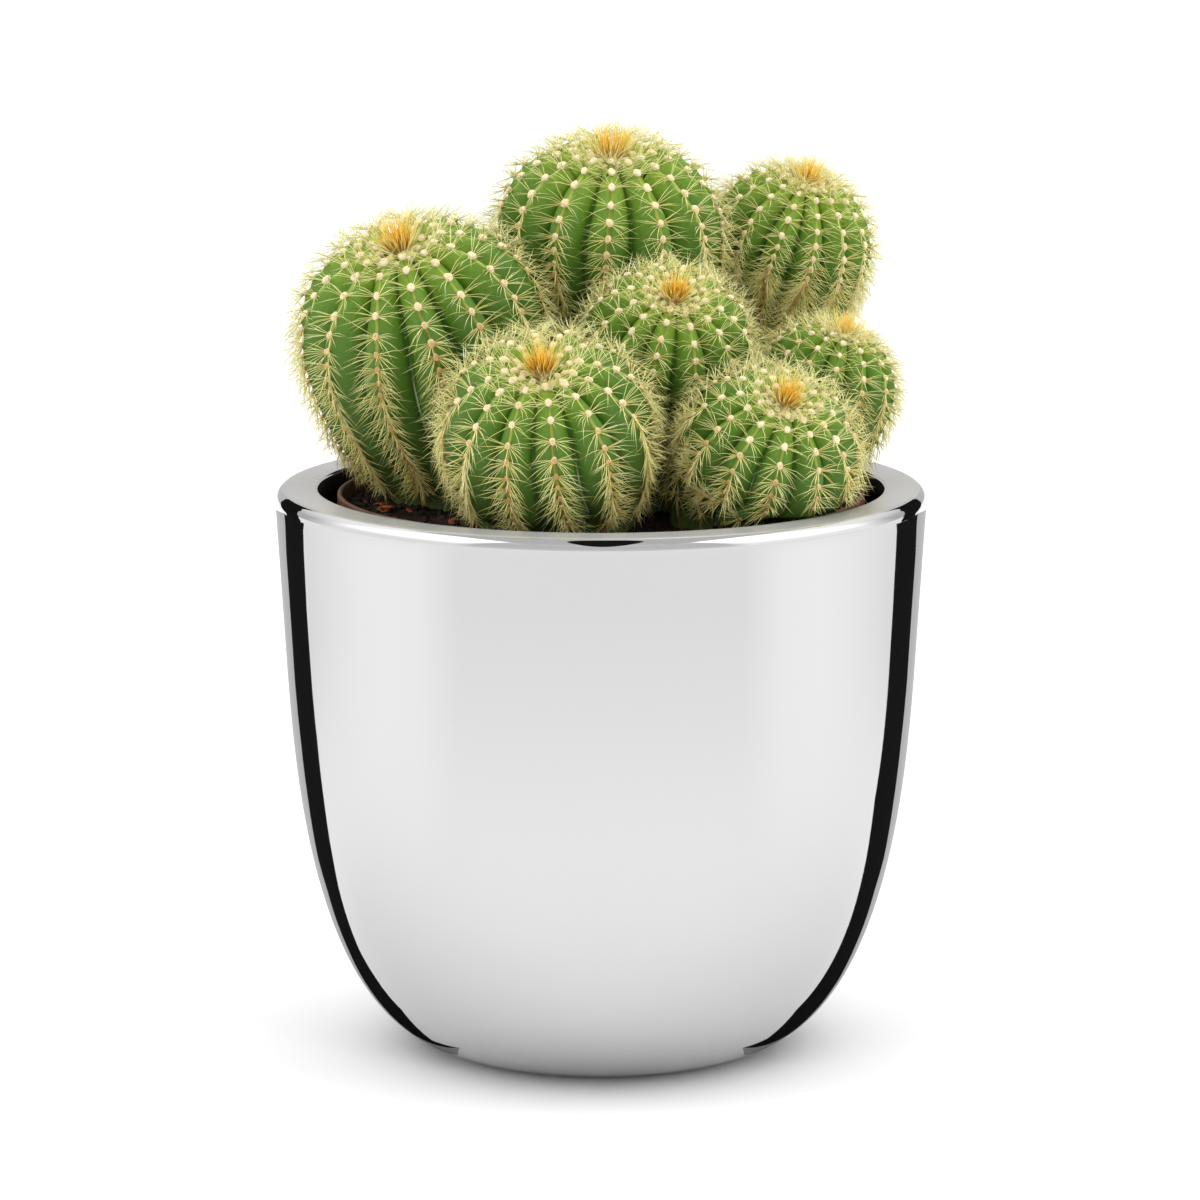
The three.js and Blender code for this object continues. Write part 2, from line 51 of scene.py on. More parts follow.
# Planter: pressed bowl of polished sheet, as in the frame.
PLANTER = dict(
    height=175, rim=100, opening=86.8, taper=9.6, belly_top=132, base=39.2,
    width_power=2.5, depth_power=2.9, wall=1.4, rim_rounding=3.6, opening_rounding=0.9, lip=6,
)
# Nursery pot: tapered plastic pot that stands on the belly's curve.
POT = dict(rim=81, top=173.4, band=12, step=1.8, foot=60, wall=1.6, hole=4, hole_circle=42, holes=6)
# Soil surface, foot of the stems in their holes, and top of the neck above the soil.
SOIL_TOP = 168
NECK_BOTTOM = 164
NECK_TOP = 170
# Loose bits on the soil: how many, radii in millimetres, and height over width.
CRUMBS = dict(count=700, sizes=(0.5, 1.6), flatness=(0.6, 1.0))
CHIPS = dict(count=46, sizes=(0.8, 2.0), flatness=(0.22, 0.5))

# Heads: centre and radius of the widest ring, dome height, depth of the globe
# and neck radius over that radius, lean in degrees, place in the soil, ribs.
HEADS = [
    dict(x=-54.5, y=7.5, z=219.5, radius=37.5, dome=0.91, taper=1.75, neck=0.57,
         right=-13, front=21, foot=(-45, 20), ribs=13, turn=6),
    dict(x=2.5, y=46, z=246.5, radius=35.3, dome=0.82, taper=1.1, neck=0.52,
         right=1, front=15, foot=(1, 43), ribs=13, turn=0),
    dict(x=59.5, y=68.5, z=240.5, radius=25.7, dome=0.93, taper=1.6, neck=0.54,
         right=15, front=15, foot=(42, 45), ribs=14, turn=-11),
    dict(x=20, y=-4.5, z=217, radius=25.5, dome=0.9, taper=1.3, neck=0.58,
         right=7, front=33, foot=(15, 5), ribs=12, turn=-8),
    dict(x=69, y=8, z=203, radius=21, dome=0.93, taper=1.5, neck=0.58,
         right=17, front=8, foot=(57, 11), ribs=13, turn=0),
    dict(x=-15.5, y=-47.5, z=196.5, radius=31, dome=0.93, taper=1.25, neck=0.64,
         right=-5, front=33, foot=(-13, -37), ribs=12, turn=5),
    dict(x=49.3, y=-38.2, z=189, radius=26.6, dome=0.92, taper=1, neck=0.58,
         right=16, front=32, foot=(36, -28), ribs=12, turn=7),
]
# Roundness of the dome, how sharply the neck passes into the globe, and how much of
# the way from the foot each handle of the middle line takes.
DOME_POWER = 2.35
NECK_BLEND = 5
LINE_PULL = 0.4
# Radius and dip of the crown over the head's radius.
CROWN_SHARE = 0.3
CROWN_DIP = 0.06
# Steps along a head's middle line, its dome and its dip.
LINE_STEPS = 90
DOME_STEPS = 60
DIP_STEPS = 16
# Depth of the furrows over the radius, at the foot and how much more at the shoulder.
FURROW = 0.12
FURROW_MORE = 0.09
# Spines, wool and the gaps between areoles have their stated size on a head of this
# radius, and grow with the root of it.
TYPICAL_RADIUS = 34
# Gap between two areoles next to the crown, how much wider it is on the shoulder and
# how much closer it gets low down.
AREOLE_GAP = 5.3
SHOULDER_GAP = 1.1
LOW_GAP = 2.8
# Turn from one crown areole or spine to the next, as a plant grows them.
GOLDEN_TURN = math.radians(137.508)

# Spines of an areole on a stem: how many, and how many of them stand off the crest. The
# others fan out to both sides, from an angle to straight up the rib and over a width,
# each with an opening from the skin's normal. Next to the crown the fan is lifted and
# widened and the opening closed by the young values. Angles are in degrees, lengths,
# bends and widths in millimetres.
STEM_SPINES = dict(
    each=18, standing=4, fan_start=82, fan_width=75, young_lift=34, young_width=10, opening=(54, 84),
    young_closing=8, standing_fan=(60, 170), standing_opening=(15, 52), length=(7.4, 11.6),
    standing_length=(0.6, 0.95), droop=(-0.4, 3.4), press=(-0.3, 1.7), wobble=0.55, width=0.138,
    young_thinning=0.02,
)
# Ring of young areoles round a crown: how many a rib, where the ring starts and how wide
# it is over the radius, size of the wool lumps, and the spines of each.
RING = dict(each_rib=1.8, inner=0.13, width=0.15, wool=(1.15, 1.5), spines=7, splay=(0.5, 1.6),
            length=(5.4, 9.0), thickness=0.105)
# Wool pad in the middle of a crown, and the tuft of erect spines on it.
PAD = dict(lumps=14, reach=0.1, wool=1.15)
TUFT = dict(spines=250, reach=0.095, splay=0.8, length=(6.8, 13.4), tall_share=0.1, taller=2.5,
            thickness=0.125)


# Small helpers

def colour(text):
    """An sRGB hex value as linear red, green, blue and alpha."""
    parts = [int(text[i:i + 2], 16) / 255 for i in (1, 3, 5)]
    return tuple(c / 12.92 if c <= 0.04045 else ((c + 0.055) / 1.055) ** 2.4 for c in parts) + (1,)


def unit(vectors):
    """Rows scaled to length one."""
    vectors = np.asarray(vectors, float)
    return vectors / np.maximum(np.linalg.norm(vectors, axis=-1, keepdims=True), 1e-9)


def smooth(low, high, value):
    """0 below low, 1 above high, and a smooth rise between them."""
    t = np.clip((value - low) / (high - low), 0, 1)
    return t * t * (3 - 2 * t)


def coordinates(mesh):
    found = np.empty(len(mesh.vertices) * 3, np.float32)
    mesh.vertices.foreach_get("co", found)
    return found.reshape(-1, 3).astype(float)


def place(mesh, points):
    """Puts the mesh's vertices at these points, given in millimetres."""
    mesh.vertices.foreach_set("co", (np.asarray(points) * MM).astype(np.float32).ravel())
    mesh.update()


def meshed(name, bm):
    """The bmesh as a mesh."""
    mesh = bpy.data.meshes.new(name)
    bm.to_mesh(mesh)
    bm.free()
    return mesh


def linked(name, data):
    made = bpy.data.objects.new(name, data)
    bpy.context.scene.collection.objects.link(made)
    return made


def piece(name, mesh, material, slot, *nodes):
    """A smooth piece of the object, which rides on the root body."""
    mesh.polygons.foreach_set("use_smooth", [True] * len(mesh.polygons))
    mesh.materials.append(material)
    made = linked(name, mesh)
    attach(made, "root")
    if nodes:
        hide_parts(*nodes)
    return made


def note(mesh, name, values):
    """Stores one number per vertex for the material to read."""
    attribute = mesh.attributes.new(name, "FLOAT", "POINT")
    attribute.data.foreach_set("value", np.asarray(values, np.float32).ravel())


# Heads: middle line, outline and ribs

class Head:
    """One cactus head. A place on it is a rib phase, whole numbers being the
    crests, and a way along the outline from the neck up to the apex."""

    def __init__(self, number, x, y, z, radius, dome, taper, neck, right, front, foot, ribs, turn):
        self.number = number
        self.radius = radius
        self.scale = math.sqrt(radius / TYPICAL_RADIUS)
        self.ribs = ribs
        self.turn = math.radians(turn)
        self.axis = unit((math.tan(math.radians(right)), -math.tan(math.radians(front)), 1))
        centre = np.array((x, y, z), float)
        start = np.array((*foot, NECK_TOP), float)
        pull = LINE_PULL * np.linalg.norm(centre - start)
        rise = start + (0, 0, pull)
        lean = centre - self.axis * pull

        t = np.linspace(0, 1, LINE_STEPS, endpoint=False)[:, None]
        line = (1 - t) ** 3 * start + 3 * (1 - t) ** 2 * t * rise + 3 * (1 - t) * t ** 2 * lean
        line = line + t ** 3 * centre
        heading = (1 - t) ** 2 * (rise - start) + 2 * (1 - t) * t * (lean - rise) + t ** 2 * (centre - lean)
        below = np.linalg.norm(line - centre, axis=1)
        globe = np.maximum(0, 1 - (below / (taper * radius)) ** 2)
        blend = neck ** NECK_BLEND + globe ** (NECK_BLEND / 2)
        lower = radius * (blend / (1 + neck ** NECK_BLEND)) ** (1 / NECK_BLEND)

        angles = np.linspace(0, math.acos(CROWN_SHARE ** (DOME_POWER / 2)), DOME_STEPS)
        heights = dome * radius * np.sin(angles) ** (2 / DOME_POWER)
        upper = radius * np.cos(angles) ** (2 / DOME_POWER)
        inner = np.linspace(CROWN_SHARE, 0, DIP_STEPS)[1:]
        dip = heights[-1] - CROWN_DIP * radius * (1 - (inner / CROWN_SHARE) ** 2)
        heights = np.concatenate([heights, dip])
        upper = np.concatenate([upper, inner * radius])

        stub = np.array([(*foot, NECK_BOTTOM)], float)
        self.points = np.concatenate([stub, line, centre + heights[:, None] * self.axis])
        tops = np.repeat([self.axis], len(heights), axis=0)
        self.headings = np.concatenate([[(0, 0, 1)], unit(heading), tops])
        self.radii = np.concatenate([lower[:1], lower, upper])
        steps = np.diff(self.points, axis=0)
        ahead = np.einsum("ij,ij->i", steps, self.headings[1:])
        lengths = np.hypot(np.linalg.norm(steps, axis=1), np.diff(self.radii))
        self.ways = np.concatenate([[0], np.cumsum(lengths)])
        self.length = self.ways[-1]
        self.crown_way = self.ways[-len(inner) - 1]
        out = np.gradient(np.concatenate([[0], np.cumsum(ahead)]), self.ways)
        along = -np.gradient(self.radii, self.ways)
        self.slopes = unit(np.stack([out, along], axis=1))
        self.set_areoles(np.random.default_rng(50 + number))

    def stations(self, way):
        """Middle point, heading, radius and slope at these ways."""
        def column(table):
            return np.stack([np.interp(way, self.ways, table[:, i]) for i in range(table.shape[1])], -1)
        radius = np.interp(way, self.ways, self.radii)
        return column(self.points), unit(column(self.headings)), radius, unit(column(self.slopes))

    def depth(self, way, radius):
        """How deep the furrows are: shallow at the foot, deepest at the shoulder."""
        share = way / self.length
        full = FURROW + FURROW_MORE * smooth(0.3, 0.7, share)
        return self.radius * full * np.minimum(1, 1.33 * radius / self.radius) * smooth(0.03, 0.16, share)

    def surface(self, phase, way):
        """Points on the skin and the outward normals of the smooth body there."""
        middle, heading, radius, slope = self.stations(way)
        sway = 0.05 * np.sin(way * 0.1 + 2 * math.pi * 3 * phase / self.ribs + self.number)
        angle = self.turn + 2 * math.pi * (phase + sway) / self.ribs
        front = unit(np.array((0, -1, 0)) + heading * heading[..., 1:2])
        right = np.cross(heading, front)
        away = front * np.cos(angle)[..., None] + right * np.sin(angle)[..., None]
        normal = away * slope[..., :1] + heading * slope[..., 1:]
        from_crest = 2 * np.abs(phase - np.round(phase))
        drop = self.depth(way, radius) * (0.25 * from_crest + 0.75 * from_crest ** 2.2)
        swell = 0.16 * np.sin(phase * 4.1 + way * 0.31) * np.sin(way * 0.53 + self.number)
        drop = drop - swell * smooth(4, 14, way) - self.chin(phase, way, from_crest)
        points = middle + away * radius[..., None] - normal * drop[..., None]
        return self.grounded(points), normal

    def chin(self, phase, way, from_crest):
        """The low bump that each areole sits on, and the notch between two of them."""
        bump = np.zeros(np.shape(way))
        for rib, ways in enumerate(self.areoles):
            here = np.round(phase) % self.ribs == rib
            if here.any() and len(ways):
                nearest = np.abs(way[here][:, None] - ways).min(1)
                bump[here] = 0.6 * np.exp(-(nearest / 1.6) ** 2) - 0.15
        return bump * (1 - smooth(0.0, 0.5, from_crest)) * smooth(6, 20, way)

    def set_areoles(self, rng):
        """Ways of the areoles on each crest, from the crown downwards: about 6 mm
        apart on the shoulder and closer and closer low down."""
        self.areoles = []
        for rib in range(self.ribs):
            way = self.crown_way - (0.4 + 1.9 * (rib * 0.618 % 1)) * self.scale
            ways = []
            while way > self.ways[1] + 4:
                ways.append(way + rng.uniform(-0.25, 0.25))
                down = self.crown_way - way
                gap = AREOLE_GAP + SHOULDER_GAP * smooth(0, 7, down)
                gap = gap - LOW_GAP * smooth(0.25, 1.15, down / self.radius)
                way -= gap * self.scale
            self.areoles.append(np.array(ways))

    def grounded(self, points):
        """Keeps points above the soil and above the lip of the nursery pot."""
        inside = np.maximum(0, POT["rim"] - 11 - np.hypot(points[..., 0], points[..., 1]))
        limit = np.where(points[..., 2] < NECK_TOP - 0.01, NECK_BOTTOM, NECK_TOP)
        over_lip = POT["top"] + 0.7 - 0.8 * inside
        lifted = np.maximum(points[..., 2], np.maximum(limit, over_lip))
        return np.concatenate([points[..., :2], lifted[..., None]], -1)

    def holds(self, points, clearance=0.0):
        """Tells which points lie inside the smooth body grown by a clearance. Every
        fourth station is near enough."""
        headings = self.headings[::4]
        away = points[:, None] - self.points[None, ::4]
        along = np.einsum("nsk,sk->ns", away, headings)
        nearest = np.abs(along).argmin(1)
        rows = np.arange(len(points))
        reach = np.abs(along[rows, nearest]) < 4
        off = away[rows, nearest] - along[rows, nearest][:, None] * headings[nearest]
        return reach & (np.linalg.norm(off, axis=1) < self.radii[::4][nearest] + clearance)


heads = [Head(number + 1, **values) for number, values in enumerate(HEADS)]


# Materials

def tree_of(data):
    """The empty node tree of a material or the world."""
    data.use_nodes = True
    data.node_tree.nodes.clear()
    return data.node_tree


def add(tree, kind, inputs=None, stops=None, **settings):
    """Adds a shader node with its settings, its input values or links and, on a
    colour ramp, its stops. A node as an input links the output that is in use."""
    node = tree.nodes.new("ShaderNode" + kind)
    for name, value in settings.items():
        setattr(node, name, value)
    for key, value in (inputs or {}).items():
        if isinstance(value, bpy.types.Node):
            value = next(socket for socket in value.outputs if socket.enabled)
        if isinstance(value, bpy.types.NodeSocket):
            tree.links.new(value, node.inputs[key])
        else:
            node.inputs[key].default_value = value
    if stops:
        elements = node.color_ramp.elements
        while len(elements) < len(stops):
            elements.new(0.5)
        for element, (position, shade) in zip(elements, stops):
            element.position = position
            element.color = colour(shade) if isinstance(shade, str) else (shade, shade, shade, 1)
    return node


def begun(name):
    """A new material and its empty node tree."""
    material = bpy.data.materials.new(name)
    return material, tree_of(material)


def ended(material, inputs):
    """The material with a principled shader that has these inputs."""
    shader = add(material.node_tree, "BsdfPrincipled", inputs)
    add(material.node_tree, "OutputMaterial", {"Surface": shader})
    return material


def steel_sheet(name, shade, metallic, patch, detail, sheen):
    """Steel whose roughness varies between two values, over patches of this size."""
    material, tree = begun(name)
    spot = add(tree, "TexCoord").outputs["Object"]
    cloud = add(tree, "TexNoise", {"Vector": spot, "Scale": METRE / patch, "Detail": detail})
    rough = add(tree, "MapRange", {"Value": cloud, "To Min": sheen[0], "To Max": sheen[1]})
    return ended(material, {"Base Color": colour(shade), "Metallic": metallic, "Roughness": rough})


def polished_steel():
    # Stainless steel buffed to a mirror: crisp reflections, a pale grey, with the
    # faint cloudy haze that buffing compound leaves, in patches about 40 mm across.
    return steel_sheet("mirror polished stainless steel", "#cac9c9", 1, 40, 2, (0.015, 0.045))


def satin_steel():
    # The flat rim, blasted with fine beads: the same pale grey, nearly matt, so that
    # it scatters as much light as it reflects, a little uneven in patches of 25 mm.
    return steel_sheet("satin stainless steel", "#c8c6c6", 0.35, 25, 1, (0.22, 0.3))


def shade_darkened_steel():
    # Painted shade: the inside of the sheet is coloured near black to stand in for the shade in the hollow,
    # dull, with the grain of the pressing, 1 mm.
    return steel_sheet("stainless steel darkened as painted shade", "#2f2e2c", 1, 1, 3, (0.5, 0.7))


def pot_plastic():
    # Moulded polypropylene in a clay colour: matt, with a fine moulded grain and
    # dried water marks.
    material, tree = begun("moulded polypropylene, clay coloured")
    spot = add(tree, "TexCoord").outputs["Object"]
    # Stains 12 mm across.
    stain = add(tree, "TexNoise", {"Vector": spot, "Scale": METRE / 12.5, "Detail": 5})
    tint = add(tree, "ValToRGB", {"Fac": stain}, [(0.3, "#4e3022"), (0.55, "#6a412f"), (0.8, "#86583f")])
    # Grain of 0.5 mm.
    grain = add(tree, "TexNoise", {"Vector": spot, "Scale": METRE / 0.5, "Detail": 2})
    bump = add(tree, "Bump", {"Height": grain, "Strength": 0.3, "Distance": 0.1 * MM})
    return ended(material, {"Base Color": tint, "Normal": bump, "Roughness": 0.6, "IOR": 1.49})


def peat():
    # Damp peat: almost black brown, matt, with paler fibres and rusty crumbs.
    material, tree = begun("damp peat")
    spot = add(tree, "TexCoord").outputs["Object"]
    # Clods 3 mm across, and fibres of 0.6 mm.
    clods = add(tree, "TexNoise", {"Vector": spot, "Scale": METRE / 3.03, "Detail": 6})
    tint = add(tree, "ValToRGB", {"Fac": clods}, [
        (0.3, "#120c09"), (0.55, "#2b1d15"), (0.68, "#4a3020"), (0.8, "#7a4a28")])
    fibres = add(tree, "TexNoise", {"Vector": spot, "Scale": METRE / 0.625, "Detail": 4})
    bump = add(tree, "Bump", {"Height": fibres, "Strength": 0.8, "Distance": 0.6 * MM})
    return ended(material, {"Base Color": tint, "Normal": bump, "Roughness": 0.95, "IOR": 1.4})


def bark():
    # Shredded pine bark: rust orange on fresh breaks, dark on the weathered side.
    material, tree = begun("pine bark chips")
    spot = add(tree, "TexCoord").outputs["Object"]
    # Layers of the bark, 1.5 mm.
    layers = add(tree, "TexNoise", {"Vector": spot, "Scale": METRE / 1.54, "Detail": 4})
    tint = add(tree, "ValToRGB", {"Fac": layers}, [(0.3, "#4a2612"), (0.5, "#9a5222"), (0.7, "#c47a3a")])
    bump = add(tree, "Bump", {"Height": layers, "Strength": 0.6, "Distance": 0.4 * MM})
    return ended(material, {"Base Color": tint, "Normal": bump, "Roughness": 0.85, "IOR": 1.45})


def cactus_skin():
    # Waxy skin: satin, bright yellow green near the crown, mid green with a pale
    # waxy bloom on the flanks, a yellow line on each crest and, low on the plant,
    # a pale crease in each furrow and corky olive at the foot.
    material, tree = begun("waxy cactus skin")
    where = add(tree, "TexCoord")
    spot = where.outputs["Object"]
    parts = add(tree, "SeparateXYZ", {"Vector": where.outputs["UV"]})
    height = parts.outputs[1]
    fold = add(tree, "Math", {0: parts.outputs[0], 1: 0.5}, operation="PINGPONG")
    from_crest = add(tree, "Math", {0: fold, 1: 2}, operation="MULTIPLY")
    tint = add(tree, "ValToRGB", {"Fac": height}, [
        (0, "#5f5e34"), (0.12, "#4d602c"), (0.4, "#496a28"), (0.68, "#557f1d"), (0.8, "#749b24"),
        (0.9, "#a2bd3c"), (1, "#c8d25a")])
    # Waxy bloom in patches 12 mm across, strongest in the middle of a flank.
    patches = add(tree, "TexNoise", {"Vector": spot, "Scale": METRE / 11.76, "Detail": 4, "Roughness": 0.6})
    middle = add(tree, "ValToRGB", {"Fac": from_crest}, [(0.05, 0), (0.35, 0.55), (0.75, 0.45), (0.98, 0.05)])
    bloom = add(tree, "Math", {0: patches, 1: middle}, operation="MULTIPLY")
    tint = add(tree, "Mix", {0: bloom, 6: tint, 7: colour("#6c9046")}, data_type="RGBA")
    # Fine mottling, 1.2 mm.
    mottle = add(tree, "TexNoise", {"Vector": spot, "Scale": METRE / 1.25, "Detail": 3})
    dull = add(tree, "MapRange", {"Value": mottle, "From Min": 0.35, "From Max": 0.75, "To Max": 0.45})
    tint = add(tree, "Mix", {0: dull, 6: tint, 7: colour("#4a6d20")}, data_type="RGBA")
    # Painted shade: the floor of each furrow is darkened to a deep green towards the top.
    low = add(tree, "ValToRGB", {"Fac": from_crest}, [(0.8, 0), (0.99, 0.85)])
    furrow_shade_tint = add(tree, "ValToRGB", {"Fac": height}, [(0.35, "#3c5a1e"), (0.7, "#28500a")])
    tint = add(tree, "Mix", {0: low, 6: tint, 7: furrow_shade_tint}, data_type="RGBA")
    # Pale dry crease along the furrow, 0.5 mm wide, broken up every 20 mm or so.
    crease = add(tree, "ValToRGB", {"Fac": from_crest}, [(0.955, 0), (0.985, 1)])
    lower = add(tree, "ValToRGB", {"Fac": height}, [(0.5, 0.9), (0.64, 0)])
    breaks = add(tree, "TexNoise", {"Vector": spot, "Scale": METRE / 20, "Detail": 2})
    broken = add(tree, "MapRange", {"Value": breaks, "From Min": 0.42, "From Max": 0.6})
    dry = add(tree, "Math", {0: crease, 1: lower}, operation="MULTIPLY")
    dry = add(tree, "Math", {0: dry, 1: broken}, operation="MULTIPLY")
    tint = add(tree, "Mix", {0: dry, 6: tint, 7: colour("#b4c29c")}, data_type="RGBA")
    # Low on the plant the crest is a corky tan band, 1.8 mm wide.
    band = add(tree, "ValToRGB", {"Fac": from_crest}, [(0.08, 0.85), (0.15, 0)])
    aged = add(tree, "ValToRGB", {"Fac": height}, [(0.32, 1), (0.58, 0)])
    corky = add(tree, "Math", {0: band, 1: aged}, operation="MULTIPLY")
    tint = add(tree, "Mix", {0: corky, 6: tint, 7: colour("#a8894c")}, data_type="RGBA")
    # Yellow line of the crest, about 0.6 mm wide, browner low on the plant.
    crest = add(tree, "ValToRGB", {"Fac": from_crest}, [(0.03, 0.9), (0.09, 0)])
    crest_tint = add(tree, "ValToRGB", {"Fac": height}, [
        (0.1, "#a08248"), (0.35, "#aa9a4c"), (0.6, "#a39c48"), (0.9, "#adb650")])
    tint = add(tree, "Mix", {0: crest, 6: tint, 7: crest_tint}, data_type="RGBA")
    rough = add(tree, "MapRange", {"Value": patches, "To Min": 0.4, "To Max": 0.62})
    bump = add(tree, "Bump", {"Height": mottle, "Strength": 0.25, "Distance": 0.3 * MM})
    return ended(material, {"Base Color": tint, "Roughness": rough, "Normal": bump, "IOR": 1.36})


def spine_material(name, stops, root, root_share, depth, glow):
    # Cactus spines: hard, smooth and slightly glossy like horn that lets light
    # through, palest towards the tip and warmer at the root, with each spine a
    # little different.
    material, tree = begun(name)
    shade = add(tree, "Attribute", attribute_name="shade").outputs["Fac"]
    along = add(tree, "Attribute", attribute_name="along").outputs["Fac"]
    own = add(tree, "ValToRGB", {"Fac": shade}, stops)
    near = add(tree, "MapRange", {"Value": along, "From Max": root_share, "To Min": depth, "To Max": 0})
    fade = add(tree, "MapRange", {"Value": shade, "To Min": 1, "To Max": 0.25})
    warm = add(tree, "Math", {0: near, 1: fade}, operation="MULTIPLY")
    tint = add(tree, "Mix", {0: warm, 6: own, 7: colour(root)}, data_type="RGBA")
    return ended(material, {"Base Color": tint, "Roughness": 0.42, "IOR": 1.5, "Subsurface Weight": glow,
                            "Subsurface Radius": (1, 0.8, 0.4), "Subsurface Scale": 0.1 * MM})


def wool_material(name, stops):
    # Plant wool: matt, soft and pale, with matted fibres about 0.4 mm apart.
    material, tree = begun(name)
    spot = add(tree, "TexCoord").outputs["Object"]
    shade = add(tree, "Attribute", attribute_name="shade").outputs["Fac"]
    tint = add(tree, "ValToRGB", {"Fac": shade}, stops)
    fibres = add(tree, "TexNoise", {"Vector": spot, "Scale": METRE / 0.4, "Detail": 3})
    bump = add(tree, "Bump", {"Height": fibres, "Strength": 0.7, "Distance": 0.3 * MM})
    return ended(material, {"Base Color": tint, "Normal": bump, "Roughness": 0.95, "Sheen Weight": 0.4,
                            "Sheen Roughness": 0.6, "IOR": 1.4})


steel = polished_steel()
steel_rim = satin_steel()
painted_shade_steel = shade_darkened_steel()
pot_finish = pot_plastic()
peat_finish = peat()
bark_finish = bark()
skin_finish = cactus_skin()
spine_finish = spine_material(
    "cactus spines, straw yellow", [(0, "#f0dd82"), (0.3, "#fbee98"), (0.65, "#fdf7a4"), (1, "#fffabc")],
    root="#f2cf5c", root_share=0.3, depth=0.7, glow=0)
golden_finish = spine_material(
    "cactus spines, golden", [(0, "#ffc93c"), (0.3, "#ffdc62"), (0.6, "#ffec90"), (1, "#fff5b4")],
    root="#f8ab1e", root_share=0.55, depth=0.9, glow=0.4)
ring_finish = spine_material(
    "young cactus spines, pale yellow", [(0, "#ffe682"), (0.5, "#fff2a0"), (1, "#fff9c2")],
    root="#fbd766", root_share=0.5, depth=0.7, glow=0.4)
wool_finish = wool_material(
    "areole wool", [(0, "#c6924e"), (0.3, "#dcb572"), (0.6, "#f4dfac"), (1, "#fdf2cf")])


# Planter, nursery pot and soil

def turned(outline, steps):
    """A closed bmesh turned round the vertical from an outline in millimetres
    that starts and ends on the axis."""
    bm = bmesh.new()
    corners = [bm.verts.new((radius * MM, 0, z * MM)) for radius, z in outline]
    edges = [bm.edges.new(pair) for pair in zip(corners, corners[1:])]
    bmesh.ops.spin(bm, geom=corners + edges, axis=(0, 0, 1), cent=(0, 0, 0), angle=2 * math.pi,
                   steps=steps, use_merge=True)
    bmesh.ops.remove_doubles(bm, verts=bm.verts, dist=1e-6)
    bmesh.ops.recalc_face_normals(bm, faces=bm.faces)
    return bm


def arc(centre, radius, start, end, count):
    """Points of a quarter or half round in the outline's plane, in degrees."""
    angles = np.radians(np.linspace(start, end, count))
    return [(centre[0] + radius * math.cos(a), centre[1] + radius * math.sin(a)) for a in angles]


def belly(count):
    """Outside of the belly from its top down to the flat base, and its inside."""
    p = PLANTER
    angles = np.linspace(0, math.pi / 2, count)
    z = p["belly_top"] * (1 - np.sin(angles) ** (2 / p["depth_power"]))
    full = p["rim"] - p["taper"] * (p["height"] - z) / p["height"]
    r = p["base"] + (full - p["base"]) * np.maximum(np.cos(angles), 0) ** (2 / p["width_power"])
    outside = np.stack([r, z], 1)
    tangent = unit(np.gradient(outside, axis=0))
    inside = outside + np.stack([tangent[:, 1], -tangent[:, 0]], 1) * p["wall"]
    return outside, inside


def make_planter():
    height, rim, opening = PLANTER["height"], PLANTER["rim"], PLANTER["opening"]
    base, wall, belly_top = PLANTER["base"], PLANTER["wall"], PLANTER["belly_top"]
    soft, edge = PLANTER["rim_rounding"], PLANTER["opening_rounding"]
    outside, inside = belly(40)
    outer_top = height - soft
    top_wall = [(rim - (rim - outside[0][0]) * (outer_top - z) / (outer_top - belly_top), z)
                for z in np.linspace(belly_top, outer_top, 14)[1:-1]]
    outline = [(0, 0), (base * 0.5, 0), (base - 2, 0)]
    outline += [tuple(point) for point in outside[::-1]]
    outline += top_wall
    outline += arc((rim - soft, outer_top), soft, 0, 90, 13)
    outline += [(r, height) for r in np.linspace(rim - soft, opening + edge, 7)[1:-1]]
    outline += arc((opening + edge, height - edge), edge, 90, 180, 6)
    outline += arc((opening + wall / 2, height - PLANTER["lip"] + wall / 2), wall / 2, 180, 360, 7)
    outline += [(opening + wall, height - wall - 0.4), (opening + wall + 0.4, height - wall)]
    outline += [(rim - wall, height - wall)]
    outline += [tuple(point) for point in inside[:-1]]
    outline += [(base * 0.6, wall), (0, wall)]
    mesh = meshed("planter_shell", turned(outline, 216))
    made = piece("planter_shell", mesh, steel, "polished_steel", "planter")
    made.data.materials.append(painted_shade_steel)
    made.data.materials.append(steel_rim)
    for face in made.data.polygons:
        out = Vector((face.center.x, face.center.y, 0))
        z = face.center.z / MM
        if face.normal.z > 0.93 and z > height - 0.4:
            face.material_index = 2
        # Faces turned inwards below the top, and the floor inside, get the near-black steel: painted shade in
        # the hollow.
        hidden = z < height - 1.5 and face.normal.dot(out) < 0
        floor = z > 0.5 and out.length / MM < base + 3 and face.normal.z > 0.5
        if hidden or floor:
            face.material_index = 1


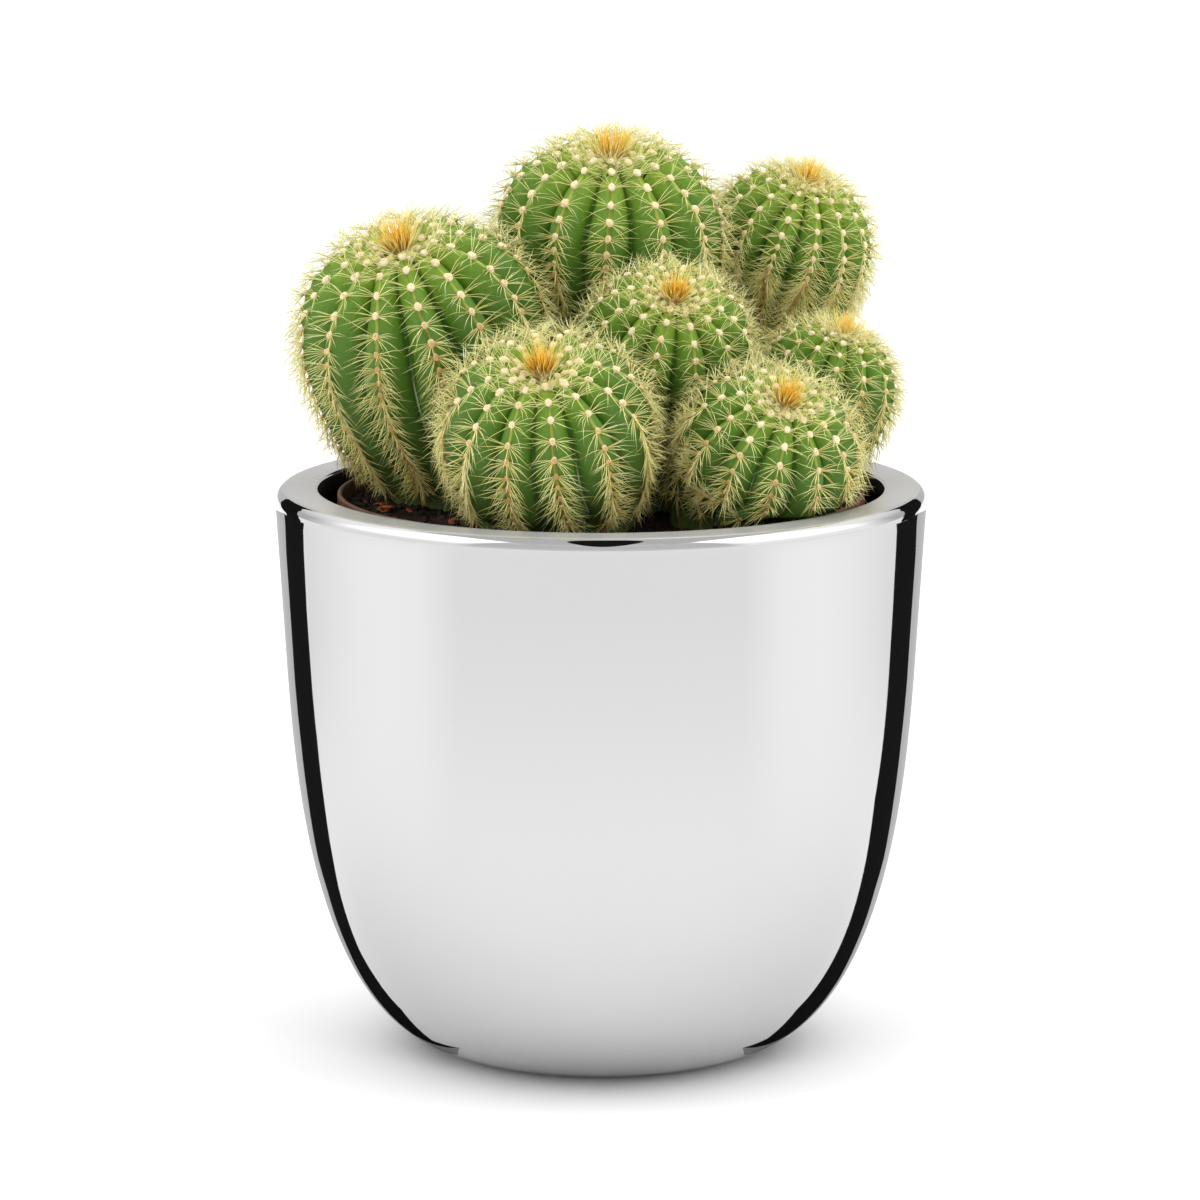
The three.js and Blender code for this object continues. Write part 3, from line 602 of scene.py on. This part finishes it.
def make_nursery_pot():
    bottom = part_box("nursery_pot")[0].z / MM
    band = POT["top"] - POT["band"]
    rim, wall, foot = POT["rim"], POT["wall"], POT["foot"]
    outline = [(0, bottom), (foot - 1, bottom), (foot, bottom + 1)]
    outline += [(rim - POT["step"], band)]
    outline += arc((rim - 0.8, band + 1.4), 0.8, -90, 0, 5)
    outline += arc((rim - wall / 2, POT["top"] - wall / 2), wall / 2, 0, 180, 9)
    outline += [(rim - wall, band + 1), (rim - POT["step"] - wall, band - 1)]
    outline += [(foot - wall, bottom + wall), (0, bottom + wall)]
    mesh = meshed("nursery_pot_shell", turned(outline, 160))
    made = piece("nursery_pot_shell", mesh, pot_finish, "pot_plastic", "nursery_pot")
    drills = bmesh.new()
    for i in range(POT["holes"]):
        angle = 2 * math.pi * i / POT["holes"]
        spot = Vector((math.cos(angle), math.sin(angle), 0)) * POT["hole_circle"] * MM
        ring = bmesh.ops.create_cone(drills, segments=24, cap_ends=True, radius1=POT["hole"] * MM,
                                     radius2=POT["hole"] * MM, depth=0.01)["verts"]
        bmesh.ops.translate(drills, verts=ring, vec=spot + Vector((0, 0, bottom * MM)))
    drill = linked("drill", meshed("drill", drills))
    cut = made.modifiers.new("drain holes", "BOOLEAN")
    cut.operation = "DIFFERENCE"
    cut.object = drill
    apply_modifiers(made)
    bpy.data.objects.remove(drill)


def apply_modifiers(made):
    """Turns the modified shape into the piece's own mesh."""
    bpy.context.view_layer.update()
    shaped = bpy.data.meshes.new_from_object(made.evaluated_get(bpy.context.evaluated_depsgraph_get()))
    made.modifiers.clear()
    made.data = shaped


def relief(x, y):
    """Rise and fall of the soil in millimetres: low swells, clods and crumbs."""
    swell = 0.66 * np.sin(x / 13 + 0.7) * np.cos(y / 11 - 0.4) + 0.44 * np.sin(x / 5.1 - y / 6.3)
    clods = 0.5 * np.sin(x * 1.1 + 2 * np.sin(y * 0.7)) * np.sin(y * 1.3 + 2 * np.sin(x * 0.6))
    crumbs = 0.3 * np.sin(x * 3.1 + 3 * np.sin(y * 1.9)) * np.sin(y * 2.7 + 3 * np.sin(x * 2.3))
    return swell + clods + crumbs


def make_soil():
    rng = np.random.default_rng(5)
    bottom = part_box("soil")[0].z / MM
    edge = POT["rim"] - POT["wall"] - 0.4
    foot = POT["foot"] - POT["wall"] - 0.4
    band = POT["top"] - POT["band"]
    outline = [(0, bottom), (foot, bottom), (edge - POT["step"], band - 1.2), (edge, band + 1)]
    outline += [(edge, SOIL_TOP - 1)]
    outline += [(r, SOIL_TOP) for r in np.linspace(edge, 0, 72)]
    mesh = meshed("soil_bed", turned(outline, 200))
    points = coordinates(mesh) / MM
    top = points[:, 2] > SOIL_TOP - 0.5
    points[top, 2] += relief(points[top, 0], points[top, 1]) + rng.normal(0, 0.12, top.sum())
    place(mesh, points)
    piece("soil_bed", mesh, peat_finish, "peat", "soil")

    grains = bmesh.new()
    bmesh.ops.create_icosphere(grains, subdivisions=1, radius=1)
    scatter("soil_crumbs", meshed("crumb", grains), peat_finish, rng, **CRUMBS)
    slab = bmesh.new()
    bmesh.ops.create_cube(slab, size=2)
    bmesh.ops.bevel(slab, geom=slab.edges[:], offset=0.35, offset_type="OFFSET", segments=1, profile=0.5,
                    affect="EDGES", material=-1)
    scatter("bark_chips", meshed("chip", slab), bark_finish, rng, **CHIPS)


def scatter(name, master, finish, rng, count, sizes, flatness):
    """Strews this many copies of a small mesh over the soil between the stems, each
    with a size and a flatness out of these spans."""
    edge = POT["rim"] - POT["wall"] - 2.5
    spots = []
    while len(spots) < count:
        radius = edge * math.sqrt(rng.random())
        angle = 2 * math.pi * rng.random()
        spot = np.array((radius * math.cos(angle), radius * math.sin(angle), 0))
        if all(np.hypot(*(spot - head.points[0])[:2]) > head.radii[0] + 1.5 for head in heads):
            spots.append(spot)
    spots = np.array(spots)
    size = rng.uniform(*sizes, count)
    spots[:, 2] = SOIL_TOP + relief(spots[:, 0], spots[:, 1]) + 0.25 * size
    mesh = stamped(name, master, count)
    base = coordinates(master)
    base = base[None] * (1 + rng.uniform(-0.28, 0.28, (count, len(base), 1)))
    stretch = rng.uniform(0.6, 1.3, (count, 1, 3))
    stretch[:, 0, 2] = rng.uniform(*flatness, count)
    turn = rng.uniform(0, 2 * math.pi, count)
    tilt = rng.normal(0, 0.35, count)
    shape = base * stretch * size[:, None, None]
    x, y, z = shape[..., 0], shape[..., 1], shape[..., 2]
    y, z = rotated(y, z, tilt)
    x, y = rotated(x, y, turn)
    place(mesh, (np.stack([x, y, z], -1) + spots[:, None]).reshape(-1, 3))
    made = piece(name, mesh, finish, "peat")
    made.data.polygons.foreach_set("use_smooth", [False] * len(made.data.polygons))


def rotated(first, second, angles):
    """Two coordinates of each row turned by its angle."""
    cosine = np.cos(angles)[:, None]
    sine = np.sin(angles)[:, None]
    return first * cosine - second * sine, first * sine + second * cosine


def stamped(name, master, count):
    """A mesh that holds this many copies of a small mesh, one after the other."""
    bm = bmesh.new()
    for _ in range(count):
        bm.from_mesh(master)
    return meshed(name, bm)


# Spines, wool and skin of the heads

def make_needle():
    """A slim three-sided needle of length one, with its root at the origin."""
    bm = bmesh.new()
    bmesh.ops.create_cone(bm, segments=3, cap_ends=True, radius1=1, radius2=0, depth=1)
    bmesh.ops.translate(bm, verts=bm.verts, vec=(0, 0, 0.5))
    bmesh.ops.remove_doubles(bm, verts=bm.verts, dist=1e-4)
    sides = [edge for edge in bm.edges if max(v.co.z for v in edge.verts) > 0.9]
    bmesh.ops.subdivide_edges(bm, edges=sides, cuts=1)
    for corner in bm.verts:
        if 0.01 < corner.co.z < 0.99:
            stout = (1 - 0.35 * corner.co.z) / (1 - corner.co.z)
            corner.co.x *= stout
            corner.co.y *= stout
    bmesh.ops.triangulate(bm, faces=[face for face in bm.faces if len(face.verts) > 4])
    return meshed("needle", bm)


def make_cushion():
    """A low round cushion of radius one with a dimple in its top."""
    bm = bmesh.new()
    bmesh.ops.create_uvsphere(bm, u_segments=8, v_segments=4, radius=1)
    for corner in bm.verts:
        if corner.co.z > 0.9:
            corner.co.z = 0.45
    return meshed("cushion", bm)


needle = make_needle()
cushion = make_cushion()


def needles(name, roots, directions, lengths, widths, bends, shades, finish, slot, *nodes):
    """One mesh of many needles that curve from their roots, in millimetres."""
    count = len(roots)
    mesh = stamped(name, needle, count)
    shape = coordinates(needle)
    x, y, s = shape[:, 0], shape[:, 1], shape[:, 2]
    helper = np.where(np.abs(directions[:, 2:]) < 0.9, (0, 0, 1.0), (1.0, 0, 0))
    side = unit(np.cross(directions, helper))
    other = np.cross(directions, side)
    points = roots[:, None] + (directions * lengths[:, None])[:, None] * s[:, None]
    points += bends[:, None] * (s ** 2)[:, None]
    points += (side[:, None] * x[:, None] + other[:, None] * y[:, None]) * widths[:, None, None]
    place(mesh, points.reshape(-1, 3))
    note(mesh, "shade", np.repeat(shades, len(shape)))
    note(mesh, "along", np.tile(s, count))
    return piece(name, mesh, finish, slot, *nodes)


def spine_clear(head, roots, tips):
    """Tells which spines miss the other heads, the soil and the flat rim."""
    free = np.ones(len(roots), bool)
    for share in (0.4, 0.7, 1.0):
        points = roots + (tips - roots) * share
        middle = np.hypot(points[:, 0], points[:, 1])
        free &= points[:, 2] > SOIL_TOP + 0.5
        free &= (points[:, 2] > PLANTER["height"] + 0.4) | (middle < POT["rim"] - POT["wall"] - 1)
        for other in heads:
            if other is not head:
                free &= ~other.holds(points, 0.2)
    return free


def gathered(phase):
    """Moves the columns of a skin closer together towards the furrows."""
    off = phase - np.round(phase)
    return np.round(phase) + np.sign(off) * 0.5 * (1 - (1 - 2 * np.abs(off)) ** 1.35)


def make_skin(head):
    """The ribbed skin, a grid bent round the head, with rib and height as its UV."""
    columns = head.ribs * 12
    rows = round(head.length / 1.3)
    bm = bmesh.new()
    bm.loops.layers.uv.new("ribs")
    bmesh.ops.create_grid(bm, x_segments=columns, y_segments=rows, size=0.5, calc_uvs=True)
    mesh = meshed("skin", bm)
    grid = coordinates(mesh) + 0.5
    phase = gathered(grid[:, 0] * head.ribs)
    way = grid[:, 1] * head.length
    points, _ = head.surface(phase, way)
    place(mesh, points)
    corners = mesh.uv_layers["ribs"].data
    uvs = np.empty(len(corners) * 2, np.float32)
    corners.foreach_get("uv", uvs)
    uvs = uvs.reshape(-1, 2)
    uvs[:, 0] = gathered(uvs[:, 0] * head.ribs)
    corners.foreach_set("uv", uvs.astype(np.float32).ravel())
    bm = bmesh.new()
    bm.from_mesh(mesh)
    bmesh.ops.remove_doubles(bm, verts=bm.verts, dist=1e-5)
    open_edges = [edge for edge in bm.edges if edge.is_boundary]
    bmesh.ops.holes_fill(bm, edges=open_edges)
    bmesh.ops.recalc_face_normals(bm, faces=bm.faces)
    node = f"stem_{head.number}"
    piece(f"{node}_skin", meshed(f"{node}_skin", bm), skin_finish, "cactus", node)


def areole_frames(head, phases, ways):
    """Places on the crests with the outward, upward and sideways directions."""
    points, normals = head.surface(phases, ways)
    above, _ = head.surface(phases, ways + 0.5)
    upward = unit(above - points)
    normals = unit(normals - upward * np.einsum("ij,ij->i", normals, upward)[:, None])
    sideways = np.cross(upward, normals)
    return points, normals, upward, sideways


def make_wool(name, frames, sizes, shades, rng, slot, *nodes):
    """Cushions of matted wool, oval along the rib, each with a darker dimple where
    the spines come out."""
    points, normals, upward, sideways = frames
    shape = coordinates(cushion)
    rough = shape[None] * (1 + rng.uniform(-0.18, 0.18, (len(points), len(shape), 1))) * sizes[:, None, None]
    lump = (points + normals * (0.25 * sizes)[:, None])[:, None] + normals[:, None] * rough[..., 2:] * 0.72
    lump = lump + sideways[:, None] * rough[..., :1] * 0.92 + upward[:, None] * rough[..., 1:2] * 1.14
    mesh = stamped(name, cushion, len(points))
    place(mesh, lump.reshape(-1, 3))
    ring = np.hypot(shape[:, 0], shape[:, 1])
    eye = np.where(shape[:, 2] > 0, 0.42 * (1 - smooth(0.1, 0.8, ring)), 0)
    speckle = rng.normal(0, 0.09, (len(points), len(shape)))
    note(mesh, "shade", np.clip(shades[:, None] - eye + speckle, 0, 1).ravel())
    piece(name, mesh, wool_finish, slot, *nodes)


def make_stem_spines(head, frames, youth, rng):
    """The thin spines of the areoles, fewer low down and near the crown: they fan out
    to both sides and point down, and some stand off the crest."""
    s = STEM_SPINES
    points, normals, upward, sideways = frames
    owner = np.repeat(np.arange(len(points)), s["each"])
    k = np.tile(np.arange(s["each"]), len(points))
    count = len(k)
    young = youth[owner]
    stands = k >= s["each"] - s["standing"]
    side = np.where(k % 2, 1.0, -1.0)
    share = (k // 2 + rng.uniform(0.0, 1.0, count)) / ((s["each"] - s["standing"]) / 2)
    top = smooth(0.5, 1, young)
    width = s["fan_width"] + s["young_width"] * top
    turn = np.radians(s["fan_start"] - s["young_lift"] * top + share * width)
    turn = np.where(stands, np.radians(rng.uniform(*s["standing_fan"], count)), turn) * side
    open_ = np.radians(rng.uniform(*s["opening"], count) - s["young_closing"] * young ** 2)
    open_ = np.where(stands, np.radians(rng.uniform(*s["standing_opening"], count)), open_)
    flat = upward[owner] * np.cos(turn)[:, None] + sideways[owner] * np.sin(turn)[:, None]
    lean = unit(normals[owner] * np.cos(open_)[:, None] + flat * np.sin(open_)[:, None])
    lengths = head.scale * rng.uniform(*s["length"], count) * (0.78 + 0.22 * smooth(0.05, 0.55, young))
    lengths = lengths * np.where(stands, rng.uniform(*s["standing_length"], count), 1)
    roots = points[owner] + flat * (0.5 * head.scale) + normals[owner] * 0.1
    droop = rng.uniform(*s["droop"], count)
    press = rng.uniform(*s["press"], count) * np.where(stands, 0.3, 1)
    bends = rng.normal(0, s["wobble"], (count, 3)) - upward[owner] * droop[:, None]
    bends = bends - normals[owner] * press[:, None]
    # A spine that runs into a neighbour stands up more, is shorter and bends less.
    free = spine_clear(head, roots, roots + lean * lengths[:, None] + bends)
    lifted = unit(lean + normals[owner] * 0.8)
    lean = np.where(free[:, None], lean, lifted)
    lengths = np.where(free, lengths, lengths * 0.6)
    bends = np.where(free[:, None], bends, bends * 0.4)
    keep = free | spine_clear(head, roots, roots + lean * lengths[:, None] + bends)
    fewer = 0.25 * (1 - smooth(0.1, 0.5, young)) + 0.25 * smooth(0.72, 0.95, young)
    keep &= rng.random(count) > fewer
    widths = (s["width"] - s["young_thinning"] * smooth(0.6, 0.95, young)) * (0.7 + 0.3 * head.scale)
    shades = np.clip(0.35 + 0.45 * young + rng.normal(0, 0.24, count), 0, 1)
    needles(f"stem_{head.number}_spines", roots[keep], lean[keep], lengths[keep], widths[keep],
            bends[keep], shades[keep], spine_finish, "cactus", f"stem_{head.number}")


def make_crown(head, rng):
    """The apex: rings of young areoles on the dip, as cream wool lumps with pale
    spines, round a flared tuft of erect golden spines."""
    node = f"crown_{head.number}"

    count = round(head.ribs * RING["each_rib"])
    order = (np.arange(count) + 0.5) / count
    reach = head.radius * (RING["inner"] + RING["width"] * order ** 0.7)
    frames = crown_frames(head, reach, np.arange(count) * GOLDEN_TURN)
    sizes = head.scale * rng.uniform(*RING["wool"], count)
    shades = np.clip(0.75 + 0.2 * order + rng.normal(0, 0.05, count), 0, 1)
    make_wool(f"{node}_wool", frames, sizes, shades, rng, "crown_wool", node)

    lumps = round(PAD["lumps"] * head.scale)
    pad_reach = head.radius * PAD["reach"] * np.sqrt((np.arange(lumps) + 0.3) / lumps)
    pad_frames = crown_frames(head, pad_reach, np.arange(lumps) * GOLDEN_TURN + 1)
    make_wool(f"{node}_pad_wool", pad_frames, np.full(lumps, PAD["wool"] * head.scale),
              np.clip(rng.normal(0.7, 0.08, lumps), 0, 1), rng, "crown_wool", node)

    points, normals, outward, sideways = frames
    owner = np.repeat(np.arange(count), RING["spines"])
    near = 1 - (reach[owner] / head.radius - RING["inner"]) / RING["width"]
    count = len(owner)
    swing = rng.normal(0, 0.28, count)
    splay = np.clip(rng.uniform(*RING["splay"], count) - 0.2 * near, 0, 2)
    lean = unit(normals[owner] + outward[owner] * splay[:, None] + sideways[owner] * swing[:, None])
    lengths = head.scale * rng.uniform(*RING["length"], count) * (1 - 0.2 * near)
    roots = points[owner] + outward[owner] * (0.4 * head.scale) + rng.normal(0, 0.25, (count, 3))
    bends = rng.normal(0, 0.3, (count, 3))
    shades = np.clip(0.9 - 0.3 * near + rng.normal(0, 0.12, count), 0, 1)
    needles(f"{node}_spines", roots, lean, lengths, np.full(count, RING["thickness"]), bends, shades,
            ring_finish, "crown_wool", node)

    count = round(TUFT["spines"] * head.scale ** 2)
    order = (np.arange(count) + 0.5) / count
    reach = head.radius * TUFT["reach"] * np.sqrt(order)
    points, normals, outward, sideways = crown_frames(head, reach, np.arange(count) * GOLDEN_TURN)
    swing = rng.normal(0, 0.12, (2, count))
    splay = TUFT["splay"] * order ** 1.1 + swing[0]
    lean = unit(normals + outward * splay[:, None] + sideways * swing[1][:, None])
    taller = np.where(rng.random(count) < TUFT["tall_share"], TUFT["taller"], 0)
    lengths = head.scale * (rng.uniform(*TUFT["length"], count) + taller)
    bends = rng.normal(0, 0.3, (count, 3))
    shades = np.clip(0.9 * smooth(0.2, 1.0, order) + rng.normal(0, 0.14, count), 0, 1)
    needles(f"{node}_tuft", points, lean, lengths, np.full(count, TUFT["thickness"]), bends, shades,
            golden_finish, "crown_wool", node)


def crown_frames(head, reach, turns):
    """Places on the apex at these distances from the axis and turns round it, with
    the upward, outward and sideways directions."""
    drop = (head.length - head.crown_way) / (CROWN_SHARE * head.radius)
    way = head.length - reach * drop
    phase = head.ribs * turns / (2 * math.pi) % head.ribs
    points, _ = head.surface(phase, way)
    middle, _, _, _ = head.stations(way)
    normals = np.repeat([head.axis], len(points), axis=0)
    outward = unit(points - middle)
    return points, normals, outward, np.cross(normals, outward)


def make_head(head):
    """Skin, spines, wool and crown of a head. Areoles that a neighbour, the soil or the
    rim covers are left out."""
    rng = np.random.default_rng(100 + head.number)
    make_skin(head)
    phases = np.concatenate([np.full(len(ways), rib, float) for rib, ways in enumerate(head.areoles)])
    ways = np.concatenate(head.areoles)
    frames = areole_frames(head, phases, ways)
    points = frames[0]
    reach = np.hypot(points[:, 0], points[:, 1])
    clear = points[:, 2] > NECK_TOP + 3
    clear &= (reach < POT["rim"] - 8) | (points[:, 2] > PLANTER["height"] + 1)
    for other in heads:
        if other is not head:
            clear &= ~other.holds(points, 0.4)
    frames = [values[clear] for values in frames]
    youth = smooth(0.15, 1.0, ways[clear] / head.crown_way)
    count = len(youth)
    sizes = head.scale * (0.84 + 0.5 * smooth(0.5, 0.98, youth)) * rng.uniform(0.9, 1.1, count)
    shades = np.clip(0.32 + 0.56 * smooth(0.55, 0.97, youth) + rng.normal(0, 0.07, count), 0, 1)
    make_wool(f"stem_{head.number}_wool", frames, sizes, shades, rng, "cactus", f"stem_{head.number}")
    make_stem_spines(head, frames, youth, rng)
    make_crown(head, rng)


# Stage, light and camera

# Cards lie on the floor beside and behind the planter, where only reflections show
# them. An edge runs from far to near, in metres to the right and to the back of the
# planter's middle. The inner edges differ a little from left to right.
OUTER_EDGE = [(0.600, 0.830), (0.511, 0.705), (0.459, 0.659), (0.394, 0.545), (0.331, 0.438), (0.277, 0.323),
              (0.219, 0.229), (0.165, 0.156), (0.147, 0.113), (0.126, 0.084), (0.108, 0.056),
              (0.090, 0.033), (0.074, 0.008), (0.060, -0.012), (0.047, -0.043)]
REAR_EDGE = [(0.11, 1.02), (0.10, 0.90), (0.10, 0.80), (0.09, 0.65), (0.085, 0.52), (0.08, 0.40),
             (0.075, 0.29), (0.07, 0.2), (0.067, 0.15), (0.064, 0.11), (0.062, 0.08),
             (0.060, 0.05), (0.057, 0.02), (0.055, 0.0), (0.045, -0.035)]
LEFT_EDGE = [(0.840, 0.550), (0.685, 0.459), (0.629, 0.430), (0.535, 0.364), (0.452, 0.288), (0.362, 0.203),
             (0.275, 0.134), (0.201, 0.081), (0.169, 0.060), (0.142, 0.039), (0.118, 0.019),
             (0.097, -0.003), (0.076, -0.022), (0.056, -0.030), (0.046, -0.044)]
RIGHT_EDGE = [(0.850, 0.530), (0.695, 0.440), (0.641, 0.407), (0.546, 0.341), (0.459, 0.273), (0.366, 0.194),
              (0.281, 0.119), (0.204, 0.071), (0.172, 0.049), (0.144, 0.029), (0.119, 0.009),
              (0.097, -0.009), (0.076, -0.026), (0.056, -0.034), (0.046, -0.044)]
INNER_EDGES = dict(left=LEFT_EDGE, right=RIGHT_EDGE)
CARD_HEIGHT = 0.0008
# A black flag stands 1 m behind the planter on either side and draws the thin dark
# line along the rim. Its posts: degrees from the front, bottom and top in metres.
FLAG_AWAY = 1.0
FLAG = [(-126, 0, 0.19), (-130.5, 0, 0.36), (-136.5, 0, 0.53), (-140.5, 0, 0.57), (-146.5, 0.12, 0.6),
        (-150.5, 0.33, 0.63), (-154.5, 0.39, 0.66), (-158.5, 0.43, 0.68), (-162.5, 0.457, 0.72),
        (-166.5, 0.466, 0.72), (-170.5, 0.457, 0.6)]
# Overhead hang a pale canopy and, under it, a narrow black oval that makes the dark
# spot in the middle of the rim: middle, and half the width and depth, in metres.
CANOPY = dict(middle=(0, 0.2, 2.2), half=(0.9, 1.5))
OVAL = dict(middle=(0.02, -0.6, 1.6), half=(0.2, 1.15))
# Brightness of the panels beside the planter.
LEFT_PANEL = 2.12
RIGHT_PANEL = 2.38
# Camera fitted to the photograph: place in metres, degrees down, and focal length and
# sensor width in millimetres.
CAMERA = dict(place=(-0.0003, -1.5, 0.418), down=10.54, lens=148.3, sensor=36)


def white_paper():
    # Matt white paper. Round the planter, from the front at 0 to the back at 1, its colour is darkened a
    # little as painted shade where no lamp stands, and far away it glows as a lit sweep.
    material, tree = begun("white paper sweep")
    spot = add(tree, "TexCoord").outputs["Object"]
    away = add(tree, "VectorMath", {0: spot}, operation="LENGTH")
    parts = add(tree, "SeparateXYZ", {"Vector": spot})
    ahead = add(tree, "Math", {0: parts.outputs[1], 1: away}, operation="DIVIDE")
    round_ = add(tree, "MapRange", {"Value": ahead, "From Min": -1})
    # Painted shade: the paper's colour by direction round the planter, darker where less lamp light would
    # fall.
    tone = add(tree, "ValToRGB", {"Fac": round_}, [
        (0, 0.84), (0.16, 0.84), (0.27, 0.98), (0.4, 1), (0.5, 0.97), (0.62, 0.9), (0.76, 0.78), (0.9, 1)])
    far = add(tree, "MapRange", {"Value": away, "From Min": 0.15, "From Max": 0.6})
    painted_falloff = add(tree, "Mix", {0: far, 6: colour("#ffffff"), 7: tone}, data_type="RGBA")
    white = add(tree, "Mix", {0: 1, 6: painted_falloff, 7: colour("#f7f7f7")}, data_type="RGBA", blend_type="MULTIPLY")
    paper = add(tree, "BsdfPrincipled", {"Base Color": white, "Roughness": 0.9})
    glow = add(tree, "Emission", {"Strength": 1.25})
    beyond = add(tree, "MapRange", {"Value": away, "From Min": 0.7, "From Max": 1.6})
    both = add(tree, "MixShader", {0: beyond, 1: paper, 2: glow})
    add(tree, "OutputMaterial", {"Surface": both})
    return material


def card_paper(name, shade):
    # Matt card: one even tone.
    material, _ = begun(name)
    return ended(material, {"Base Color": colour(shade), "Roughness": 1, "Specular IOR Level": 0})


def make_stage():
    """A pale floor that runs into a white sweep, and matt cards that only the
    reflections in the planter can see."""
    bm = bmesh.new()
    bmesh.ops.create_grid(bm, x_segments=1, y_segments=1, size=20)
    staged("floor", bm, white_paper())
    black = card_paper("black card", "#181818")
    grey = card_paper("grey card", "#a9a9a9")
    for hand, side in (("left", -1), ("right", 1)):
        lay_card(f"{hand}_black_card", side, OUTER_EDGE, INNER_EDGES[hand], black)
        lay_card(f"{hand}_grey_card", side, REAR_EDGE, OUTER_EDGE, grey)
        stand_flag(f"{hand}_flag", side, black)
    bm = bmesh.new()
    bmesh.ops.create_circle(bm, cap_ends=True, segments=40, radius=1)
    hang("black_oval", bm, black, **OVAL)
    bm = bmesh.new()
    bmesh.ops.create_grid(bm, x_segments=1, y_segments=1, size=1)
    hang("canopy", bm, card_paper("pale grey canopy", "#c8c8c8"), **CANOPY)


def staged(name, bm, finish):
    made = linked(name, meshed(name, bm))
    made.data.materials.append(finish)
    return made


def reflected(name, bm, finish):
    """A staged card that neither the camera nor any matt surface sees."""
    made = staged(name, bm, finish)
    made.visible_camera = False
    made.visible_diffuse = False
    made.visible_shadow = False


def strip(name, rails, finish):
    """A card between two rails of places."""
    bm = bmesh.new()
    rails = [[bm.verts.new(place) for place in rail] for rail in rails]
    for near, far in zip(*(zip(rail, rail[1:]) for rail in rails)):
        bm.faces.new((*near, *far[::-1]))
    reflected(name, bm, finish)


def lay_card(name, side, outer, inner, finish):
    strip(name, [[(side * x, y, CARD_HEIGHT) for x, y in edge] for edge in (outer, inner)], finish)


def stand_flag(name, side, finish):
    rails = [[], []]
    for angle, bottom, top in FLAG:
        a = math.radians(angle) * -side
        for rail, height in zip(rails, (bottom, top)):
            rail.append((FLAG_AWAY * math.sin(a), -FLAG_AWAY * math.cos(a), height))
    strip(name, rails, finish)


def hang(name, bm, finish, middle, half):
    """A card overhead, from a flat shape of half size one."""
    matrix = Matrix.Translation(middle) @ Matrix.Diagonal((*half, 1, 1))
    bmesh.ops.transform(bm, verts=bm.verts, matrix=matrix)
    reflected(name, bm, finish)


def make_light():
    """Soft studio light: a bright panel at each side, the right one stronger, and
    less light from the front and the back."""
    world = bpy.data.worlds.new("studio")
    bpy.context.scene.world = world
    tree = tree_of(world)
    toward = add(tree, "TexCoord").outputs["Generated"]
    parts = add(tree, "SeparateXYZ", {"Vector": toward})
    right, back, up = parts.outputs
    plain = add(tree, "VectorMath", {0: toward, 1: (1, 1, 0)}, operation="MULTIPLY")
    level = add(tree, "VectorMath", {0: plain}, operation="LENGTH")
    ahead = add(tree, "Math", {0: back, 1: level}, operation="DIVIDE")
    across = add(tree, "MapRange", {"Value": right, "From Min": -0.3, "From Max": 0.3})
    panels = add(tree, "ValToRGB", {"Fac": across}, [(0, LEFT_PANEL), (1, RIGHT_PANEL)])
    # The panels are dimmer near the floor.
    rise = add(tree, "ValToRGB", {"Fac": up}, [(0, 0.56), (0.3, 0.58), (0.7, 1.12)])
    lit = add(tree, "Mix", {0: 1, 6: panels, 7: rise}, data_type="RGBA", blend_type="MULTIPLY")
    rear = add(tree, "ValToRGB", {"Fac": up}, [(0, 0.62), (0.3, 0.66), (0.6, 1.3), (1, 1.7)])
    front = add(tree, "ValToRGB", {"Fac": up}, [
        (0, 1.06), (0.06, 0.98), (0.16, 0.85), (0.5, 0.77), (0.8, 0.82), (1, 1.7)])
    beside = add(tree, "MapRange", {"Value": ahead, "From Min": 0.6, "From Max": 0.3})
    facing = add(tree, "MapRange", {"Value": ahead, "From Min": -0.6, "From Max": -0.7})
    wide = add(tree, "Mix", {0: beside, 6: rear, 7: lit}, data_type="RGBA")
    whole = add(tree, "Mix", {0: facing, 6: wide, 7: front}, data_type="RGBA")
    background = add(tree, "Background", {"Color": whole, "Strength": 1})
    add(tree, "OutputWorld", {"Surface": background})
    bpy.context.scene.view_settings.view_transform = "Standard"


def make_camera():
    camera = bpy.data.cameras.new("camera")
    camera.sensor_width = CAMERA["sensor"]
    camera.lens = CAMERA["lens"]
    camera.clip_end = 100
    holder = linked("camera", camera)
    holder.location = CAMERA["place"]
    holder.rotation_euler = (math.radians(90 - CAMERA["down"]), 0, 0)
    bpy.context.scene.camera = holder


make_camera()
make_stage()
make_light()
make_planter()
make_nursery_pot()
make_soil()
for one in heads:
    make_head(one)
